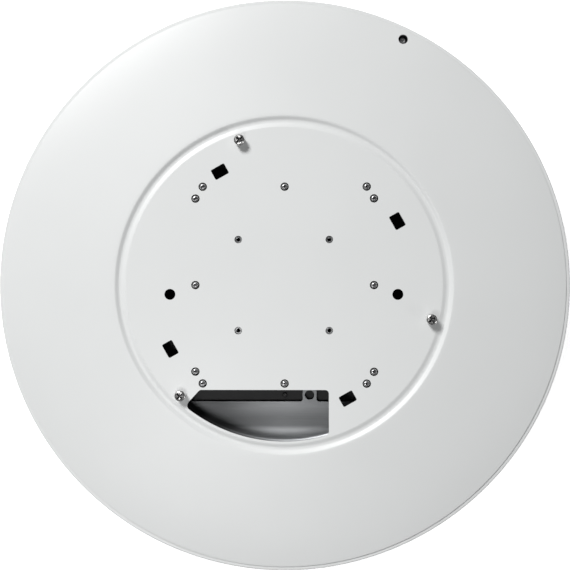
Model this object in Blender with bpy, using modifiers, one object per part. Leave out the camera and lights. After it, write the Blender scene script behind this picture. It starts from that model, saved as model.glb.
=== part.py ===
"""Round ceiling array microphone, network powered, lying face down.

+Z points at the ceiling: the perforated grille rests on z = 0 and the mounting
plate faces up. The origin is the centre of the grille face. Metres throughout.
"""
import math

import bpy
import bmesh
from mathutils import Matrix

GAP = 0.0003                     # left between pieces that touch
SEGMENTS = 72                    # round the big turned pieces

# back cover: one stamped sheet with a flat plate, a ring groove and a dome
SHEET = 0.0015
PLATE_TOP = 0.048
PLATE_MIDDLE = 0.045             # the plain middle of the plate, inside its fixings
GROOVE_INNER, GROOVE_OUTER = 0.1795, 0.1805       # its flat bottom
INNER_WALL, GROOVE_DEPTH = 0.0062, 0.0016
OUTER_WALL, GROOVE_RISE = 0.0061, 0.0026
DOME_START = GROOVE_OUTER + OUTER_WALL
DOME_SLOPE = 0.0665              # the shallow cone outside the groove
CROWN_START, CROWN_DROP = 0.250, 0.0016
RIM_RADIUS, RIM_EDGE, RIM_BOTTOM = 0.3115, 0.0007, 0.0320

# grille: a perforated pan whose narrow lip lies flush round the cover's edge
GRILLE_RADIUS = 0.3160
GRILLE_SHEET = 0.0012
LIP_INNER, LIP_TOP, SHOULDER_RADIUS = 0.3121, 0.0390, 0.0016
FRONT_ROUNDING = 0.0080
ROUNDING_STEPS = 4
LIGHT_X, LIGHT_LOW_Y, LIGHT_HIGH_Y = 0.0200, -0.3030, -0.2990
LAMP_X, LAMP_LOW_Y, LAMP_HIGH_Y = 0.0220, -0.3060, -0.2960
LAMP_LOW, LAMP_HIGH = 0.0052, 0.0064

# stack between grille and cover
FOAM_RADIUS, FOAM_LOW, FOAM_HIGH = 0.3085, 0.0015, 0.0065
BOARD_LOW, BOARD_HIGH, HUB_RADIUS = 0.0080, 0.0096, 0.050
CARRIER_RADIUS, CARRIER_LOW, CARRIER_HIGH = 0.2825, 0.0099, 0.0127
CARRIER_HOLE, WINDOW_INNER, WINDOW_OUTER, WINDOW_HALF_DEG = 0.045, 0.090, 0.262, 13.0
CHASSIS_RADIUS, CHASSIS_LOW, CHASSIS_HIGH = 0.2875, 0.0130, 0.0145
FLANGE_RADIUS, FLANGE_LOW, FLANGE_HIGH = 0.309, 0.0290, 0.0305
ON_CHASSIS = CHASSIS_HIGH + GAP

# twist ring under the chassis flange, part of the removable grille
RING_INNER, RING_OUTER, RING_WALL = 0.291, 0.3143, 0.0012
RING_LOW, RING_HIGH, RING_FOOT = 0.0260, 0.0275, 0.0160
TWIST_DEG = 8.0
PIN_CIRCLE = 0.2985
PIN_ANGLES = (10.0, 130.0, 250.0)
PIN_SHANK, PIN_HEAD, PIN_HEAD_HEIGHT = 0.0018, 0.0040, 0.0013
PIN_TIP_BEVEL, PIN_CLEARANCE = 0.0004, 0.0004
LOCK_CIRCLE, LOCK_ANGLE = 0.3016, 64.1
LOCK_SHANK, LOCK_HEAD, LOCK_HOLE = 0.0019, 0.0037, 0.00525
LOCK_TIP, LOCK_HEAD_HEIGHT, LOCK_BEVEL = 0.0225, 0.0050, 0.0008
SLEEVE_INNER, SLEEVE_OUTER, SLEEVE_TOP = 0.0048, 0.0058, 0.0375

# fixings on the mounting plate
VESA_HALF = 0.050
INSERT_RADIUS, INSERT_BORE, INSERT_FLANGE = 0.0038, 0.0021, 0.0055
INSERT_TOP, INSERT_FLANGE_LOW, INSERT_LOW = 0.0464, 0.0425, 0.0385
SCREW_SHANK, SCREW_HEAD, SCREW_CROWN = 0.0019, 0.0048, 0.0030
SCREW_HEIGHT, SCREW_EDGE, SCREW_TIP = 0.0020, 0.0006, 0.0405
SCREW_PLACES = [(x, y) for x in (-0.089, 0.091) for y in (-0.108, 0.108)]
SCREW_PLACES += [(x, y) for x in (-0.097, 0.099) for y in (-0.095, 0.0, 0.095)]
SCREW_PLACES += [(0.001, -0.108), (0.001, 0.108)]
POST_CIRCLE = 0.1655
POST_ANGLES = (107.0, -13.1, -133.1)
POST_NECK, POST_HEAD, POST_BODY = 0.0032, 0.00575, 0.0050
POST_TOP, POST_BEVEL, POST_HEAD_HEIGHT, POST_UNDERCUT = 0.060, 0.0006, 0.0070, 0.0006
SLOT_CIRCLE = 0.143
SLOT_ANGLES = (29.4, 119.4, 209.4, 299.4)
SLOT_LENGTH, SLOT_WIDTH, SLOT_FILLET = 0.0166, 0.0124, 0.0015
ROUND_HOLE_X, ROUND_HOLE_Y, ROUND_HOLE_RADIUS = 0.1251, -0.0102, 0.006

# cable opening and the bay under it
OPENING_TOP_Y, OPENING_TOP_LEFT_X, OPENING_RIGHT_X = -0.1151, -0.0923, 0.0495
OPENING_ARC, OPENING_ARC_LEFT = 0.1717, (-0.1086, -0.1330)
OPENING_FILLET, OPENING_LOW_FILLET = 0.0040, 0.0053
BAY_EDGE_Y = -0.1308
TRAY_LOW, TRAY_HIGH = 0.0205, 0.0220
TRAY_RADIUS = 0.1785
TRAY_WALL_TOP = 0.043
TRAY_FLANGE_LEFT, TRAY_FLANGE_RIGHT = -0.090, 0.100
TAB_X, TAB_HALF_WIDTH, TAB_END_Y = 0.0287, 0.0078, -0.1128
TAB_HOLE_Y, TAB_HOLE_RADIUS, TAB_FILLET, TAB_CORNER = -0.1235, 0.0053, 0.0028, 0.0010
BAFFLE_BACK_Y, BAFFLE_FRONT_Y = -0.1132, -0.1148
BAFFLE_HALF_X, BAFFLE_TOP, BAFFLE_FLOOR = 0.103, 0.0439, 0.0017
BAFFLE_SCREW, BAFFLE_SCREW_HEAD, BAFFLE_SCREW_HEIGHT = (0.0009, -0.1239), 0.0029, 0.0016

# mounting frame under the plate
FRAME_HALF_X, FRAME_HALF_Y = 0.106, 0.1129
FRAME_LOW, FRAME_HIGH, FRAME_WINDOW = 0.0442, 0.0462, 0.036
LEG_X, LEG_LOW_Y, LEG_HIGH_Y = 0.0945, 0.1005, 0.1045

# electronics
MAIN_LOW, MAIN_HIGH = 0.0223, 0.0239
MAIN_HALF_X, MAIN_Y_LOW, MAIN_Y_HIGH = 0.075, -0.1105, 0.005
MAIN_CORNER, STANDOFF_X, STANDOFF_PLACES_Y, STANDOFF_RADIUS = 0.003, 0.068, (-0.104, -0.002), 0.003
ON_MAIN = MAIN_HIGH + GAP
JACK_X, JACK_FRONT_Y, JACK_BACK_Y = -0.045, -0.1146, -0.0933
JACK_HALF_X, JACK_HEIGHT, JACK_SHEET = 0.008, 0.0136, 0.0006
PLUG_HALF_X, PLUG_DEPTH, PLUG_FLOOR, PLUG_ROOF = 0.00595, 0.0135, 0.0022, 0.0030
LATCH_HALF_X, LATCH_FLOOR = 0.0030, 0.0014
BUTTON_X, BUTTON_Y, BUTTON_Z = -0.020, -0.1124, 0.030
BUTTON_RADIUS, BUTTON_HALF_LENGTH = 0.0022, 0.0028
SWITCH_HALF_X, SWITCH_LOW_Y, SWITCH_HIGH_Y, SWITCH_TOP = 0.003, -0.1086, -0.1040, 0.033
TRANSFORMER_LOW, TRANSFORMER_HIGH = (-0.056, -0.074), (-0.034, -0.056)
TALL_PART = 0.014                # height of the transformer and the capacitors
CAPACITOR_X, CAPACITOR_PLACES_Y, CAPACITOR_RADIUS = -0.045, (-0.042, -0.024), 0.0052
CAN_LOW, CAN_HIGH, CAN_HEIGHT = (-0.003, -0.073), (0.043, -0.027), 0.004
SPREADER_BASE, FIN_TOP, FIN_PITCH, FIN_THICKNESS, FINS = 0.003, 0.0145, 0.00885, 0.0015, 6
RIBBON_X, RIBBON_RISE_Y, RIBBON_END_Y, RIBBON_THICKNESS = 0.015, 0.0136, -0.004, 0.0008
ARMS = 8
ARM_INNER, ARM_OUTER, ARM_HALF_WIDTH = 0.058, 0.272, 0.011
MICS_PER_ARM = 8
MIC_HALF_X, MIC_HALF_Y, MIC_OFFSET, MIC_HEIGHT = 0.002, 0.0015, 0.005, 0.0011

OVERLAP = 0.0001                 # keeps faces of joined shapes from coinciding
BEYOND = 0.002                   # how far a cutter reaches past what it cuts

PARTS = bpy.data.collections.new("ceiling_array_microphone")
CUTTERS = bpy.data.collections.new("cutters")


def polar(radius, degrees):
    """Return the point at this radius and angle."""
    angle = math.radians(degrees)
    return radius * math.cos(angle), radius * math.sin(angle)


def make_material(name, color, roughness, metallic):
    """Return a Principled BSDF material."""
    material = bpy.data.materials.new(name)
    material.use_nodes = True
    shader = material.node_tree.nodes["Principled BSDF"]
    shader.inputs["Base Color"].default_value = (*color, 1.0)
    shader.inputs["Roughness"].default_value = roughness
    shader.inputs["Metallic"].default_value = metallic
    return material


def add(name, mesh, material, at=(0.0, 0.0, 0.0)):
    """Make an object in the parts collection; one without a material is left as a cutter."""
    piece = bpy.data.objects.new(name, mesh)
    piece.location = at
    if material is None:
        piece.hide_render = True
        piece.display_type = "WIRE"
    else:
        mesh.materials.append(material)
        PARTS.objects.link(piece)
    return piece


def box(name, low, high, material=None, bevel=0.0):
    """Make a block between two corners, with its origin at its centre."""
    size = [high[i] - low[i] for i in range(3)]
    centre = [(high[i] + low[i]) / 2 for i in range(3)]
    shape = bmesh.new()
    bmesh.ops.create_cube(shape, size=1.0, matrix=Matrix.Diagonal((*size, 1.0)))
    mesh = bpy.data.meshes.new(name)
    shape.to_mesh(mesh)
    shape.free()
    piece = add(name, mesh, material, centre)
    if bevel:
        edge = piece.modifiers.new("edges", "BEVEL")
        edge.width = bevel
        edge.segments = 1
    return piece


def cylinder(name, radius, z_low, z_high, at, material=None, segments=20):
    """Make an upright cylinder on the axis through `at`."""
    shape = bmesh.new()
    bmesh.ops.create_cone(shape, cap_ends=True, segments=segments, radius1=radius,
                          radius2=radius, depth=z_high - z_low)
    mesh = bpy.data.meshes.new(name)
    shape.to_mesh(mesh)
    shape.free()
    return add(name, mesh, material, (at[0], at[1], (z_low + z_high) / 2))


def turned(name, profile, at, material, segments, closed):
    """Turn a profile of (radius, z) points about the upright axis through `at`."""
    points = [(radius, 0.0, z) for radius, z in profile]
    edges = [(i, i + 1) for i in range(len(points) - 1)]
    if closed:
        edges.append((len(points) - 1, 0))
    mesh = bpy.data.meshes.new(name)
    mesh.from_pydata(points, edges, [])
    piece = add(name, mesh, material, (at[0], at[1], 0.0))
    screw = piece.modifiers.new("turn", "SCREW")
    screw.steps = segments
    screw.render_steps = segments
    screw.use_merge_vertices = True
    screw.merge_threshold = 0.00001
    screw.use_smooth_shade = True
    return piece


def flat(name, loops, z_low, z_high, material=None):
    """Extrude flat outlines upward; loops after the first are holes."""
    curve = bpy.data.curves.new(name, "CURVE")
    curve.dimensions = "2D"
    curve.fill_mode = "BOTH"
    curve.extrude = (z_high - z_low) / 2
    for loop in loops:
        spline = curve.splines.new("POLY")
        spline.points.add(len(loop) - 1)
        for point, (x, y) in zip(spline.points, loop):
            point.co = (x, y, 0.0, 1.0)
        spline.use_cyclic_u = True
    outline = bpy.data.objects.new(name + "_outline", curve)
    bpy.context.scene.collection.objects.link(outline)
    evaluated = outline.evaluated_get(bpy.context.evaluated_depsgraph_get())
    mesh = bpy.data.meshes.new_from_object(evaluated)
    bpy.data.objects.remove(outline, do_unlink=True)
    shape = bmesh.new()
    shape.from_mesh(mesh)
    bmesh.ops.remove_doubles(shape, verts=shape.verts, dist=0.00001)
    bmesh.ops.recalc_face_normals(shape, faces=shape.faces)
    shape.to_mesh(mesh)
    shape.free()
    return add(name, mesh, material, (0.0, 0.0, (z_low + z_high) / 2))


def combine(piece, others, operation):
    """Join other shapes to a piece, or cut them out of it."""
    group = bpy.data.collections.new(f"{piece.name}_{operation.lower()}")
    CUTTERS.children.link(group)
    for other in others:
        group.objects.link(other)
    modifier = piece.modifiers.new(operation.lower(), "BOOLEAN")
    modifier.operation = operation
    modifier.solver = "EXACT"
    modifier.operand_type = "COLLECTION"
    modifier.collection = group
    return piece


def arc(radius, start, end, steps, centre=(0.0, 0.0)):
    """Return points along an arc, angles in degrees."""
    turn = [start + (end - start) * i / steps for i in range(steps + 1)]
    return [(centre[0] + x, centre[1] + y) for x, y in (polar(radius, a) for a in turn)]


def circle(x, y, radius, steps=20):
    """Return a closed round outline."""
    return arc(radius, 0.0, 360.0, steps, (x, y))[:-1]


def rectangle(x_low, x_high, y_low, y_high):
    """Return a rectangular outline."""
    return [(x_low, y_low), (x_high, y_low), (x_high, y_high), (x_low, y_high)]


def arc_slot(radius, start, end, half_width):
    """Return the outline of a slot that follows a circle, with round ends."""
    first = arc(half_width, start + 180.0, start + 360.0, 5, polar(radius, start))
    last = arc(half_width, end, end + 180.0, 5, polar(radius, end))
    outer = arc(radius + half_width, start, end, 4)[1:-1]
    inner = arc(radius - half_width, end, start, 4)[1:-1]
    return first + outer + last + inner


def rounded(corners, steps=4):
    """Round the corners of an outline given as (x, y, fillet radius)."""
    outline = []
    count = len(corners)
    for i, (x, y, fillet) in enumerate(corners):
        if not fillet:
            outline.append((x, y))
            continue
        before = corners[i - 1]
        after = corners[(i + 1) % count]
        to_before = math.atan2(before[1] - y, before[0] - x)
        to_after = math.atan2(after[1] - y, after[0] - x)
        half = ((to_after - to_before + math.pi) % (2 * math.pi) - math.pi) / 2
        reach = fillet / abs(math.sin(half))
        middle = to_before + half
        centre = (x + reach * math.cos(middle), y + reach * math.sin(middle))
        sweep = math.copysign(math.pi / 2 - abs(half), half)
        for k in range(steps + 1):
            angle = middle + math.pi + sweep * (1 - 2 * k / steps)
            outline.append((centre[0] + fillet * math.cos(angle),
                            centre[1] + fillet * math.sin(angle)))
    return outline


def cover_height(radius):
    """Return the height of the cover's outer face at this radius, out to the dome's end."""
    if radius <= GROOVE_OUTER:
        down = min(1.0, max(0.0, (GROOVE_INNER - radius) / INNER_WALL))
        return PLATE_TOP - GROOVE_DEPTH * 0.5 * (1.0 + math.cos(math.pi * down))
    up = min(1.0, (radius - GROOVE_OUTER) / OUTER_WALL)
    height = PLATE_TOP - GROOVE_DEPTH + GROOVE_RISE * 0.5 * (1.0 - math.cos(math.pi * up))
    crown = max(0.0, (radius - CROWN_START) / (RIM_RADIUS - CROWN_START))
    return height - DOME_SLOPE * max(0.0, radius - DOME_START) - CROWN_DROP * crown ** 3


def opening_outline():
    """Return the cable opening: straight top and right sides, a chamfer and an arc."""
    left_x, left_y = OPENING_ARC_LEFT
    start = math.degrees(math.atan2(left_y, left_x))
    end = math.degrees(-math.acos(OPENING_RIGHT_X / OPENING_ARC))
    bottom = arc(OPENING_ARC, start, end, 10)
    corners = [(*bottom[0], OPENING_LOW_FILLET)]
    corners += [(x, y, 0.0) for x, y in bottom[1:-1]]
    corners += [(*bottom[-1], OPENING_LOW_FILLET)]
    corners += [(OPENING_RIGHT_X, OPENING_TOP_Y, OPENING_FILLET)]
    corners += [(OPENING_TOP_LEFT_X, OPENING_TOP_Y, OPENING_FILLET)]
    return rounded(corners)


def cover_cutters():
    """Return a cutter for each hole in the cover."""
    low, high = RIM_BOTTOM - BEYOND, PLATE_TOP + BEYOND
    half_in, half_along = SLOT_WIDTH / 2, SLOT_LENGTH / 2
    corners = [(-half_in, -half_along, SLOT_FILLET), (half_in, -half_along, SLOT_FILLET),
               (half_in, half_along, SLOT_FILLET), (-half_in, half_along, SLOT_FILLET)]
    cutters = [flat("cable_opening", [opening_outline()], low, high)]
    for number, angle in enumerate(SLOT_ANGLES, 1):
        slot = flat(f"strap_slot_{number}", [rounded(corners, 2)], low, high)
        slot.location.xy = polar(SLOT_CIRCLE, angle)
        slot.rotation_euler.z = math.radians(angle)
        cutters.append(slot)
    for side in (-1, 1):
        place = (side * ROUND_HOLE_X, ROUND_HOLE_Y)
        cutters.append(cylinder("round_hole", ROUND_HOLE_RADIUS, low, high, place))
    for x, y in SCREW_PLACES:
        cutters.append(cylinder("screw_hole", SCREW_SHANK + GAP, low, high, (x, y), None, 12))
    for x, y in vesa_places():
        cutters.append(cylinder("insert_hole", INSERT_RADIUS + GAP, low, high, (x, y), None, 16))
    for angle in POST_ANGLES:
        place = polar(POST_CIRCLE, angle)
        cutters.append(cylinder("post_hole", POST_NECK + GAP, low, high, place, None, 16))
    cutters.append(cylinder("lock_hole", LOCK_HOLE, low, high, polar(LOCK_CIRCLE, LOCK_ANGLE)))
    return cutters


def vesa_places():
    """Return the four insert positions."""
    return [(x, y) for x in (-VESA_HALF, VESA_HALF) for y in (-VESA_HALF, VESA_HALF)]


def make_back_cover(material):
    """Stamp the cover: plate, groove, dome and a turned-down rim."""
    radii = [0.0, PLATE_MIDDLE]
    radii += [GROOVE_INNER - INNER_WALL * share for share in (1.0, 0.5, 0.0)]
    radii += [GROOVE_OUTER + OUTER_WALL * share for share in (0.0, 0.33, 0.67, 1.0)]
    dome_end = RIM_RADIUS - RIM_EDGE
    radii += [CROWN_START + (dome_end - CROWN_START) * share for share in (0.0, 0.5, 0.8, 1.0)]
    profile = [(radius, cover_height(radius)) for radius in radii]
    profile += [(RIM_RADIUS, cover_height(dome_end) - RIM_EDGE), (RIM_RADIUS, RIM_BOTTOM)]
    cover = turned("back_cover", profile, (0, 0), material, SEGMENTS, False)
    add_sheet(cover, SHEET)
    return combine(cover, cover_cutters(), "DIFFERENCE")


def add_sheet(piece, thickness):
    """Give an open surface its sheet thickness, inward."""
    skin = piece.modifiers.new("sheet", "SOLIDIFY")
    skin.thickness = thickness
    skin.offset = -1.0
    skin.use_even_offset = True


def make_grille(material, axis):
    """Make the front pan with its flush lip and the window for the light bar."""
    shoulder = (GRILLE_RADIUS - SHOULDER_RADIUS, LIP_TOP - SHOULDER_RADIUS)
    front = (GRILLE_RADIUS - FRONT_ROUNDING, FRONT_ROUNDING)
    profile = [(LIP_INNER, LIP_TOP)]
    profile += arc(SHOULDER_RADIUS, 90.0, 0.0, ROUNDING_STEPS, shoulder)
    profile += arc(FRONT_ROUNDING, 0.0, -90.0, ROUNDING_STEPS, front)
    profile += [(0.0, 0.0)]
    grille = turned("grille", profile, (0, 0), material, SEGMENTS, False)
    add_sheet(grille, GRILLE_SHEET)
    room = 0.0005
    window = box("light_window", (-LIGHT_X - room, LIGHT_LOW_Y - room, -BEYOND),
                 (LIGHT_X + room, LIGHT_HIGH_Y + room, GRILLE_SHEET + BEYOND))
    combine(grille, [window], "DIFFERENCE")
    grille.parent = axis


def make_foam(material, axis):
    """Make the foam disc behind the grille face."""
    foam = cylinder("acoustic_foam", FOAM_RADIUS, FOAM_LOW, FOAM_HIGH, (0, 0), material, SEGMENTS)
    room = 0.0005
    notch = box("light_notch", (-LAMP_X - room, LAMP_LOW_Y - room, FOAM_LOW - BEYOND),
                (LAMP_X + room, LAMP_HIGH_Y + room, FOAM_HIGH + BEYOND))
    combine(foam, [notch], "DIFFERENCE")
    foam.parent = axis


def make_twist_ring(material, axis):
    """Make the ring that hooks the grille onto the pins by a short turn."""
    outline = [(RING_INNER, RING_HIGH), (RING_OUTER, RING_HIGH)]
    outline += [(RING_OUTER, RING_FOOT), (RING_OUTER - RING_WALL, RING_FOOT)]
    outline += [(RING_OUTER - RING_WALL, RING_LOW), (RING_INNER, RING_LOW)]
    ring = turned("twist_ring", outline, (0, 0), material, SEGMENTS, True)
    low, high = RING_LOW - BEYOND / 2, RING_HIGH + BEYOND / 2
    cutters = []
    for number, angle in enumerate(PIN_ANGLES, 1):
        path = arc_slot(PIN_CIRCLE, angle, angle + TWIST_DEG, PIN_SHANK + PIN_CLEARANCE)
        slot = flat(f"pin_slot_{number}", [path], low, high)
        entry = cylinder(f"pin_entry_{number}", PIN_HEAD + PIN_CLEARANCE, low - OVERLAP,
                         high + OVERLAP, polar(PIN_CIRCLE, angle + TWIST_DEG))
        cutters += [slot, entry]
    path = arc_slot(LOCK_CIRCLE, LOCK_ANGLE, LOCK_ANGLE + TWIST_DEG, LOCK_SHANK + PIN_CLEARANCE)
    cutters.append(flat("lock_slot", [path], low, high))
    combine(ring, cutters, "DIFFERENCE")
    ring.parent = axis


def make_status_light(board_material, lens_material, axis):
    """Make the light bar in the grille face and the strip of lamps behind it."""
    strip = box("status_led_board", (-LAMP_X, LAMP_LOW_Y, LAMP_LOW), (LAMP_X, LAMP_HIGH_Y, LAMP_HIGH),
                board_material)
    recess, bevel = 0.00015, 0.0004
    lens = box("light_pipe", (-LIGHT_X, LIGHT_LOW_Y, recess),
               (LIGHT_X, LIGHT_HIGH_Y, LAMP_LOW - GAP), lens_material, bevel)
    strip.parent = axis
    lens.parent = axis


def make_pins(material):
    """Make the three shouldered pins that the twist ring hooks onto."""
    top, head = FLANGE_LOW - GAP, RING_LOW - GAP
    foot = head - PIN_HEAD_HEIGHT
    tip = foot - PIN_TIP_BEVEL
    for number, angle in enumerate(PIN_ANGLES, 1):
        profile = [(0.0, top), (PIN_SHANK, top), (PIN_SHANK, head), (PIN_HEAD, head)]
        profile += [(PIN_HEAD, foot), (PIN_HEAD - PIN_TIP_BEVEL, tip), (0.0, tip)]
        turned(f"bayonet_pin_{number}", profile, polar(PIN_CIRCLE, angle), material, 14, False)


def make_lock(sleeve_material, screw_material):
    """Make the sleeve under the rim hole and the captive screw that stops the grille's turn."""
    centre = polar(LOCK_CIRCLE, LOCK_ANGLE)
    seat = FLANGE_HIGH + GAP
    outline = [(SLEEVE_INNER, SLEEVE_TOP), (SLEEVE_OUTER, SLEEVE_TOP)]
    outline += [(SLEEVE_OUTER, seat), (SLEEVE_INNER, seat)]
    turned("lock_sleeve", outline, centre, sleeve_material, 20, True)
    top = seat + LOCK_HEAD_HEIGHT
    profile = [(0.0, top), (LOCK_HEAD - LOCK_BEVEL, top), (LOCK_HEAD, top - LOCK_BEVEL)]
    profile += [(LOCK_HEAD, seat), (LOCK_SHANK, seat), (LOCK_SHANK, LOCK_TIP), (0.0, LOCK_TIP)]
    turned("lock_screw", profile, centre, screw_material, 16, False)


def make_chassis(material):
    """Make the pan that carries everything: floor, wall, outer flange and two holes."""
    inner = CHASSIS_RADIUS - SHEET
    outline = [(0.0, CHASSIS_HIGH), (inner, CHASSIS_HIGH), (inner, FLANGE_HIGH)]
    outline += [(FLANGE_RADIUS, FLANGE_HIGH), (FLANGE_RADIUS, FLANGE_LOW)]
    outline += [(CHASSIS_RADIUS, FLANGE_LOW), (CHASSIS_RADIUS, CHASSIS_LOW), (0.0, CHASSIS_LOW)]
    pan = turned("inner_chassis", outline, (0, 0), material, SEGMENTS, False)
    room = 0.003
    slot = box("ribbon_slot", (-RIBBON_X - room, RIBBON_RISE_Y - room, CHASSIS_LOW - BEYOND),
               (RIBBON_X + room, RIBBON_RISE_Y + 2 * room, CHASSIS_HIGH + BEYOND))
    hole = cylinder("lock_screw_hole", LOCK_SHANK + GAP, FLANGE_LOW - BEYOND, FLANGE_HIGH + BEYOND,
                    polar(LOCK_CIRCLE, LOCK_ANGLE), None, 12)
    combine(pan, [slot, hole], "DIFFERENCE")


def make_carrier(material):
    """Make the moulded wheel that holds the microphone boards, with windows between its arms."""
    loops = [circle(0.0, 0.0, CARRIER_RADIUS, SEGMENTS), circle(0.0, 0.0, CARRIER_HOLE, 32)]
    for number in range(ARMS):
        middle = (number + 0.5) * 360.0 / ARMS
        first, last = middle - WINDOW_HALF_DEG, middle + WINDOW_HALF_DEG
        outer = arc(WINDOW_OUTER, first, last, 5)
        inner = arc(WINDOW_INNER, last, first, 2)
        loops.append(outer + inner)
    return flat("array_carrier", loops, CARRIER_LOW, CARRIER_HIGH, material)


def make_mic_boards(material):
    """Make the hub board and eight arm boards, each with a row of microphone cans."""
    for number in range(ARMS):
        angle = number * 360.0 / ARMS
        arm = box(f"mic_board_{number + 1}", (ARM_INNER, -ARM_HALF_WIDTH, BOARD_LOW),
                  (ARM_OUTER, ARM_HALF_WIDTH, BOARD_HIGH), material)
        cans = []
        pitch = (ARM_OUTER - ARM_INNER) / MICS_PER_ARM
        for index in range(MICS_PER_ARM):
            middle = ARM_INNER + pitch * (index + 0.5)
            side = MIC_OFFSET * (-1) ** index
            can = box(f"can_{number}_{index}",
                      (middle - MIC_HALF_X, side - MIC_HALF_Y, BOARD_LOW - MIC_HEIGHT),
                      (middle + MIC_HALF_X, side + MIC_HALF_Y, BOARD_HIGH - MIC_HEIGHT))
            turn_about_z(can, angle)
            cans.append(can)
        turn_about_z(arm, angle)
        combine(arm, cans, "UNION")
    cylinder("hub_board", HUB_RADIUS, BOARD_LOW, BOARD_HIGH, (0, 0), material, 32)


def turn_about_z(piece, degrees):
    """Swing a piece round the object's axis."""
    piece.matrix_basis = Matrix.Rotation(math.radians(degrees), 4, "Z") @ piece.matrix_basis


def make_mounting_frame(material):
    """Make the steel frame under the plate: a holed sheet on four legs."""
    outline = rectangle(-FRAME_HALF_X, FRAME_HALF_X, -FRAME_HALF_Y, FRAME_HALF_Y)
    loops = [outline, rectangle(-FRAME_WINDOW, FRAME_WINDOW, -FRAME_WINDOW, FRAME_WINDOW)]
    loops += [circle(x, y, INSERT_RADIUS + GAP, 16) for x, y in vesa_places()]
    loops += [circle(x, y, SCREW_SHANK + GAP, 12) for x, y in SCREW_PLACES]
    frame = flat("mounting_frame", loops, FRAME_LOW, FRAME_HIGH, material)
    legs = []
    for number, (side_x, side_y) in enumerate([(1, 1), (1, -1), (-1, 1), (-1, -1)], 1):
        across = sorted((side_x * LEG_X, side_x * (FRAME_HALF_X - OVERLAP)))
        along = sorted((side_y * LEG_LOW_Y, side_y * LEG_HIGH_Y))
        legs.append(box(f"leg_{number}", (across[0], along[0], ON_CHASSIS),
                        (across[1], along[1], (FRAME_LOW + FRAME_HIGH) / 2)))
    return combine(frame, legs, "UNION")


def make_plate_fixings(insert_material, screw_material, post_material):
    """Make the threaded inserts, the cover screws and the hanger posts."""
    flange_top = FRAME_LOW - GAP
    for number, place in enumerate(vesa_places(), 1):
        profile = [(INSERT_BORE, INSERT_TOP), (INSERT_RADIUS, INSERT_TOP)]
        profile += [(INSERT_RADIUS, flange_top), (INSERT_FLANGE, flange_top)]
        profile += [(INSERT_FLANGE, INSERT_FLANGE_LOW), (INSERT_RADIUS, INSERT_FLANGE_LOW)]
        profile += [(INSERT_RADIUS, INSERT_LOW), (INSERT_BORE, INSERT_LOW)]
        turned(f"vesa_insert_{number}", profile, place, insert_material, 12, True)
    seat = PLATE_TOP + GAP
    for number, place in enumerate(SCREW_PLACES, 1):
        profile = [(0.0, seat + SCREW_HEIGHT), (SCREW_CROWN, seat + SCREW_HEIGHT)]
        profile += [(SCREW_HEAD, seat + SCREW_EDGE), (SCREW_HEAD, seat), (SCREW_SHANK, seat)]
        profile += [(SCREW_SHANK, SCREW_TIP), (0.0, SCREW_TIP)]
        turned(f"cover_screw_{number}", profile, place, screw_material, 12, False)
    shoulder = PLATE_TOP - SHEET - GAP
    under = POST_TOP - POST_HEAD_HEIGHT
    for number, angle in enumerate(POST_ANGLES, 1):
        profile = [(0.0, POST_TOP), (POST_HEAD - POST_BEVEL, POST_TOP)]
        profile += [(POST_HEAD, POST_TOP - POST_BEVEL), (POST_HEAD, under)]
        profile += [(POST_NECK, under - POST_UNDERCUT)]
        profile += [(POST_NECK, shoulder), (POST_BODY, shoulder), (POST_BODY, ON_CHASSIS)]
        profile += [(0.0, ON_CHASSIS)]
        turned(f"hanger_post_{number}", profile, polar(POST_CIRCLE, angle), post_material, 16, False)


def make_cable_tray(material):
    """Make the bay's metal floor: a holed tab in front, a curved wall behind, a flange below."""
    start = math.degrees(math.asin(BAY_EDGE_Y / TRAY_RADIUS))
    low, high = TAB_X - TAB_HALF_WIDTH, TAB_X + TAB_HALF_WIDTH
    corners = [(x, y, 0.0) for x, y in arc(TRAY_RADIUS, -180.0 - start, start, 20)]
    corners += [(high, BAY_EDGE_Y, TAB_FILLET), (high, TAB_END_Y, TAB_CORNER)]
    corners += [(low, TAB_END_Y, TAB_CORNER), (low, BAY_EDGE_Y, TAB_FILLET)]
    hole = circle(TAB_X, TAB_HOLE_Y, TAB_HOLE_RADIUS, 20)
    tray = flat("cable_tray", [rounded(corners), hole], TRAY_LOW, TRAY_HIGH, material)
    first, last = -180.0 - start + 1.0, start - 1.0
    outline = arc(TRAY_RADIUS - OVERLAP, first, last, 20)
    outline += arc(TRAY_RADIUS - SHEET, last, first, 20)
    seam = (TRAY_LOW + TRAY_HIGH) / 2
    wall = flat("tray_wall", [outline], seam, TRAY_WALL_TOP)
    flange = box("tray_flange", (TRAY_FLANGE_LEFT, BAY_EDGE_Y - SHEET - OVERLAP, ON_CHASSIS),
                 (TRAY_FLANGE_RIGHT, BAY_EDGE_Y - OVERLAP, seam))
    return combine(tray, [wall, flange], "UNION")


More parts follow.
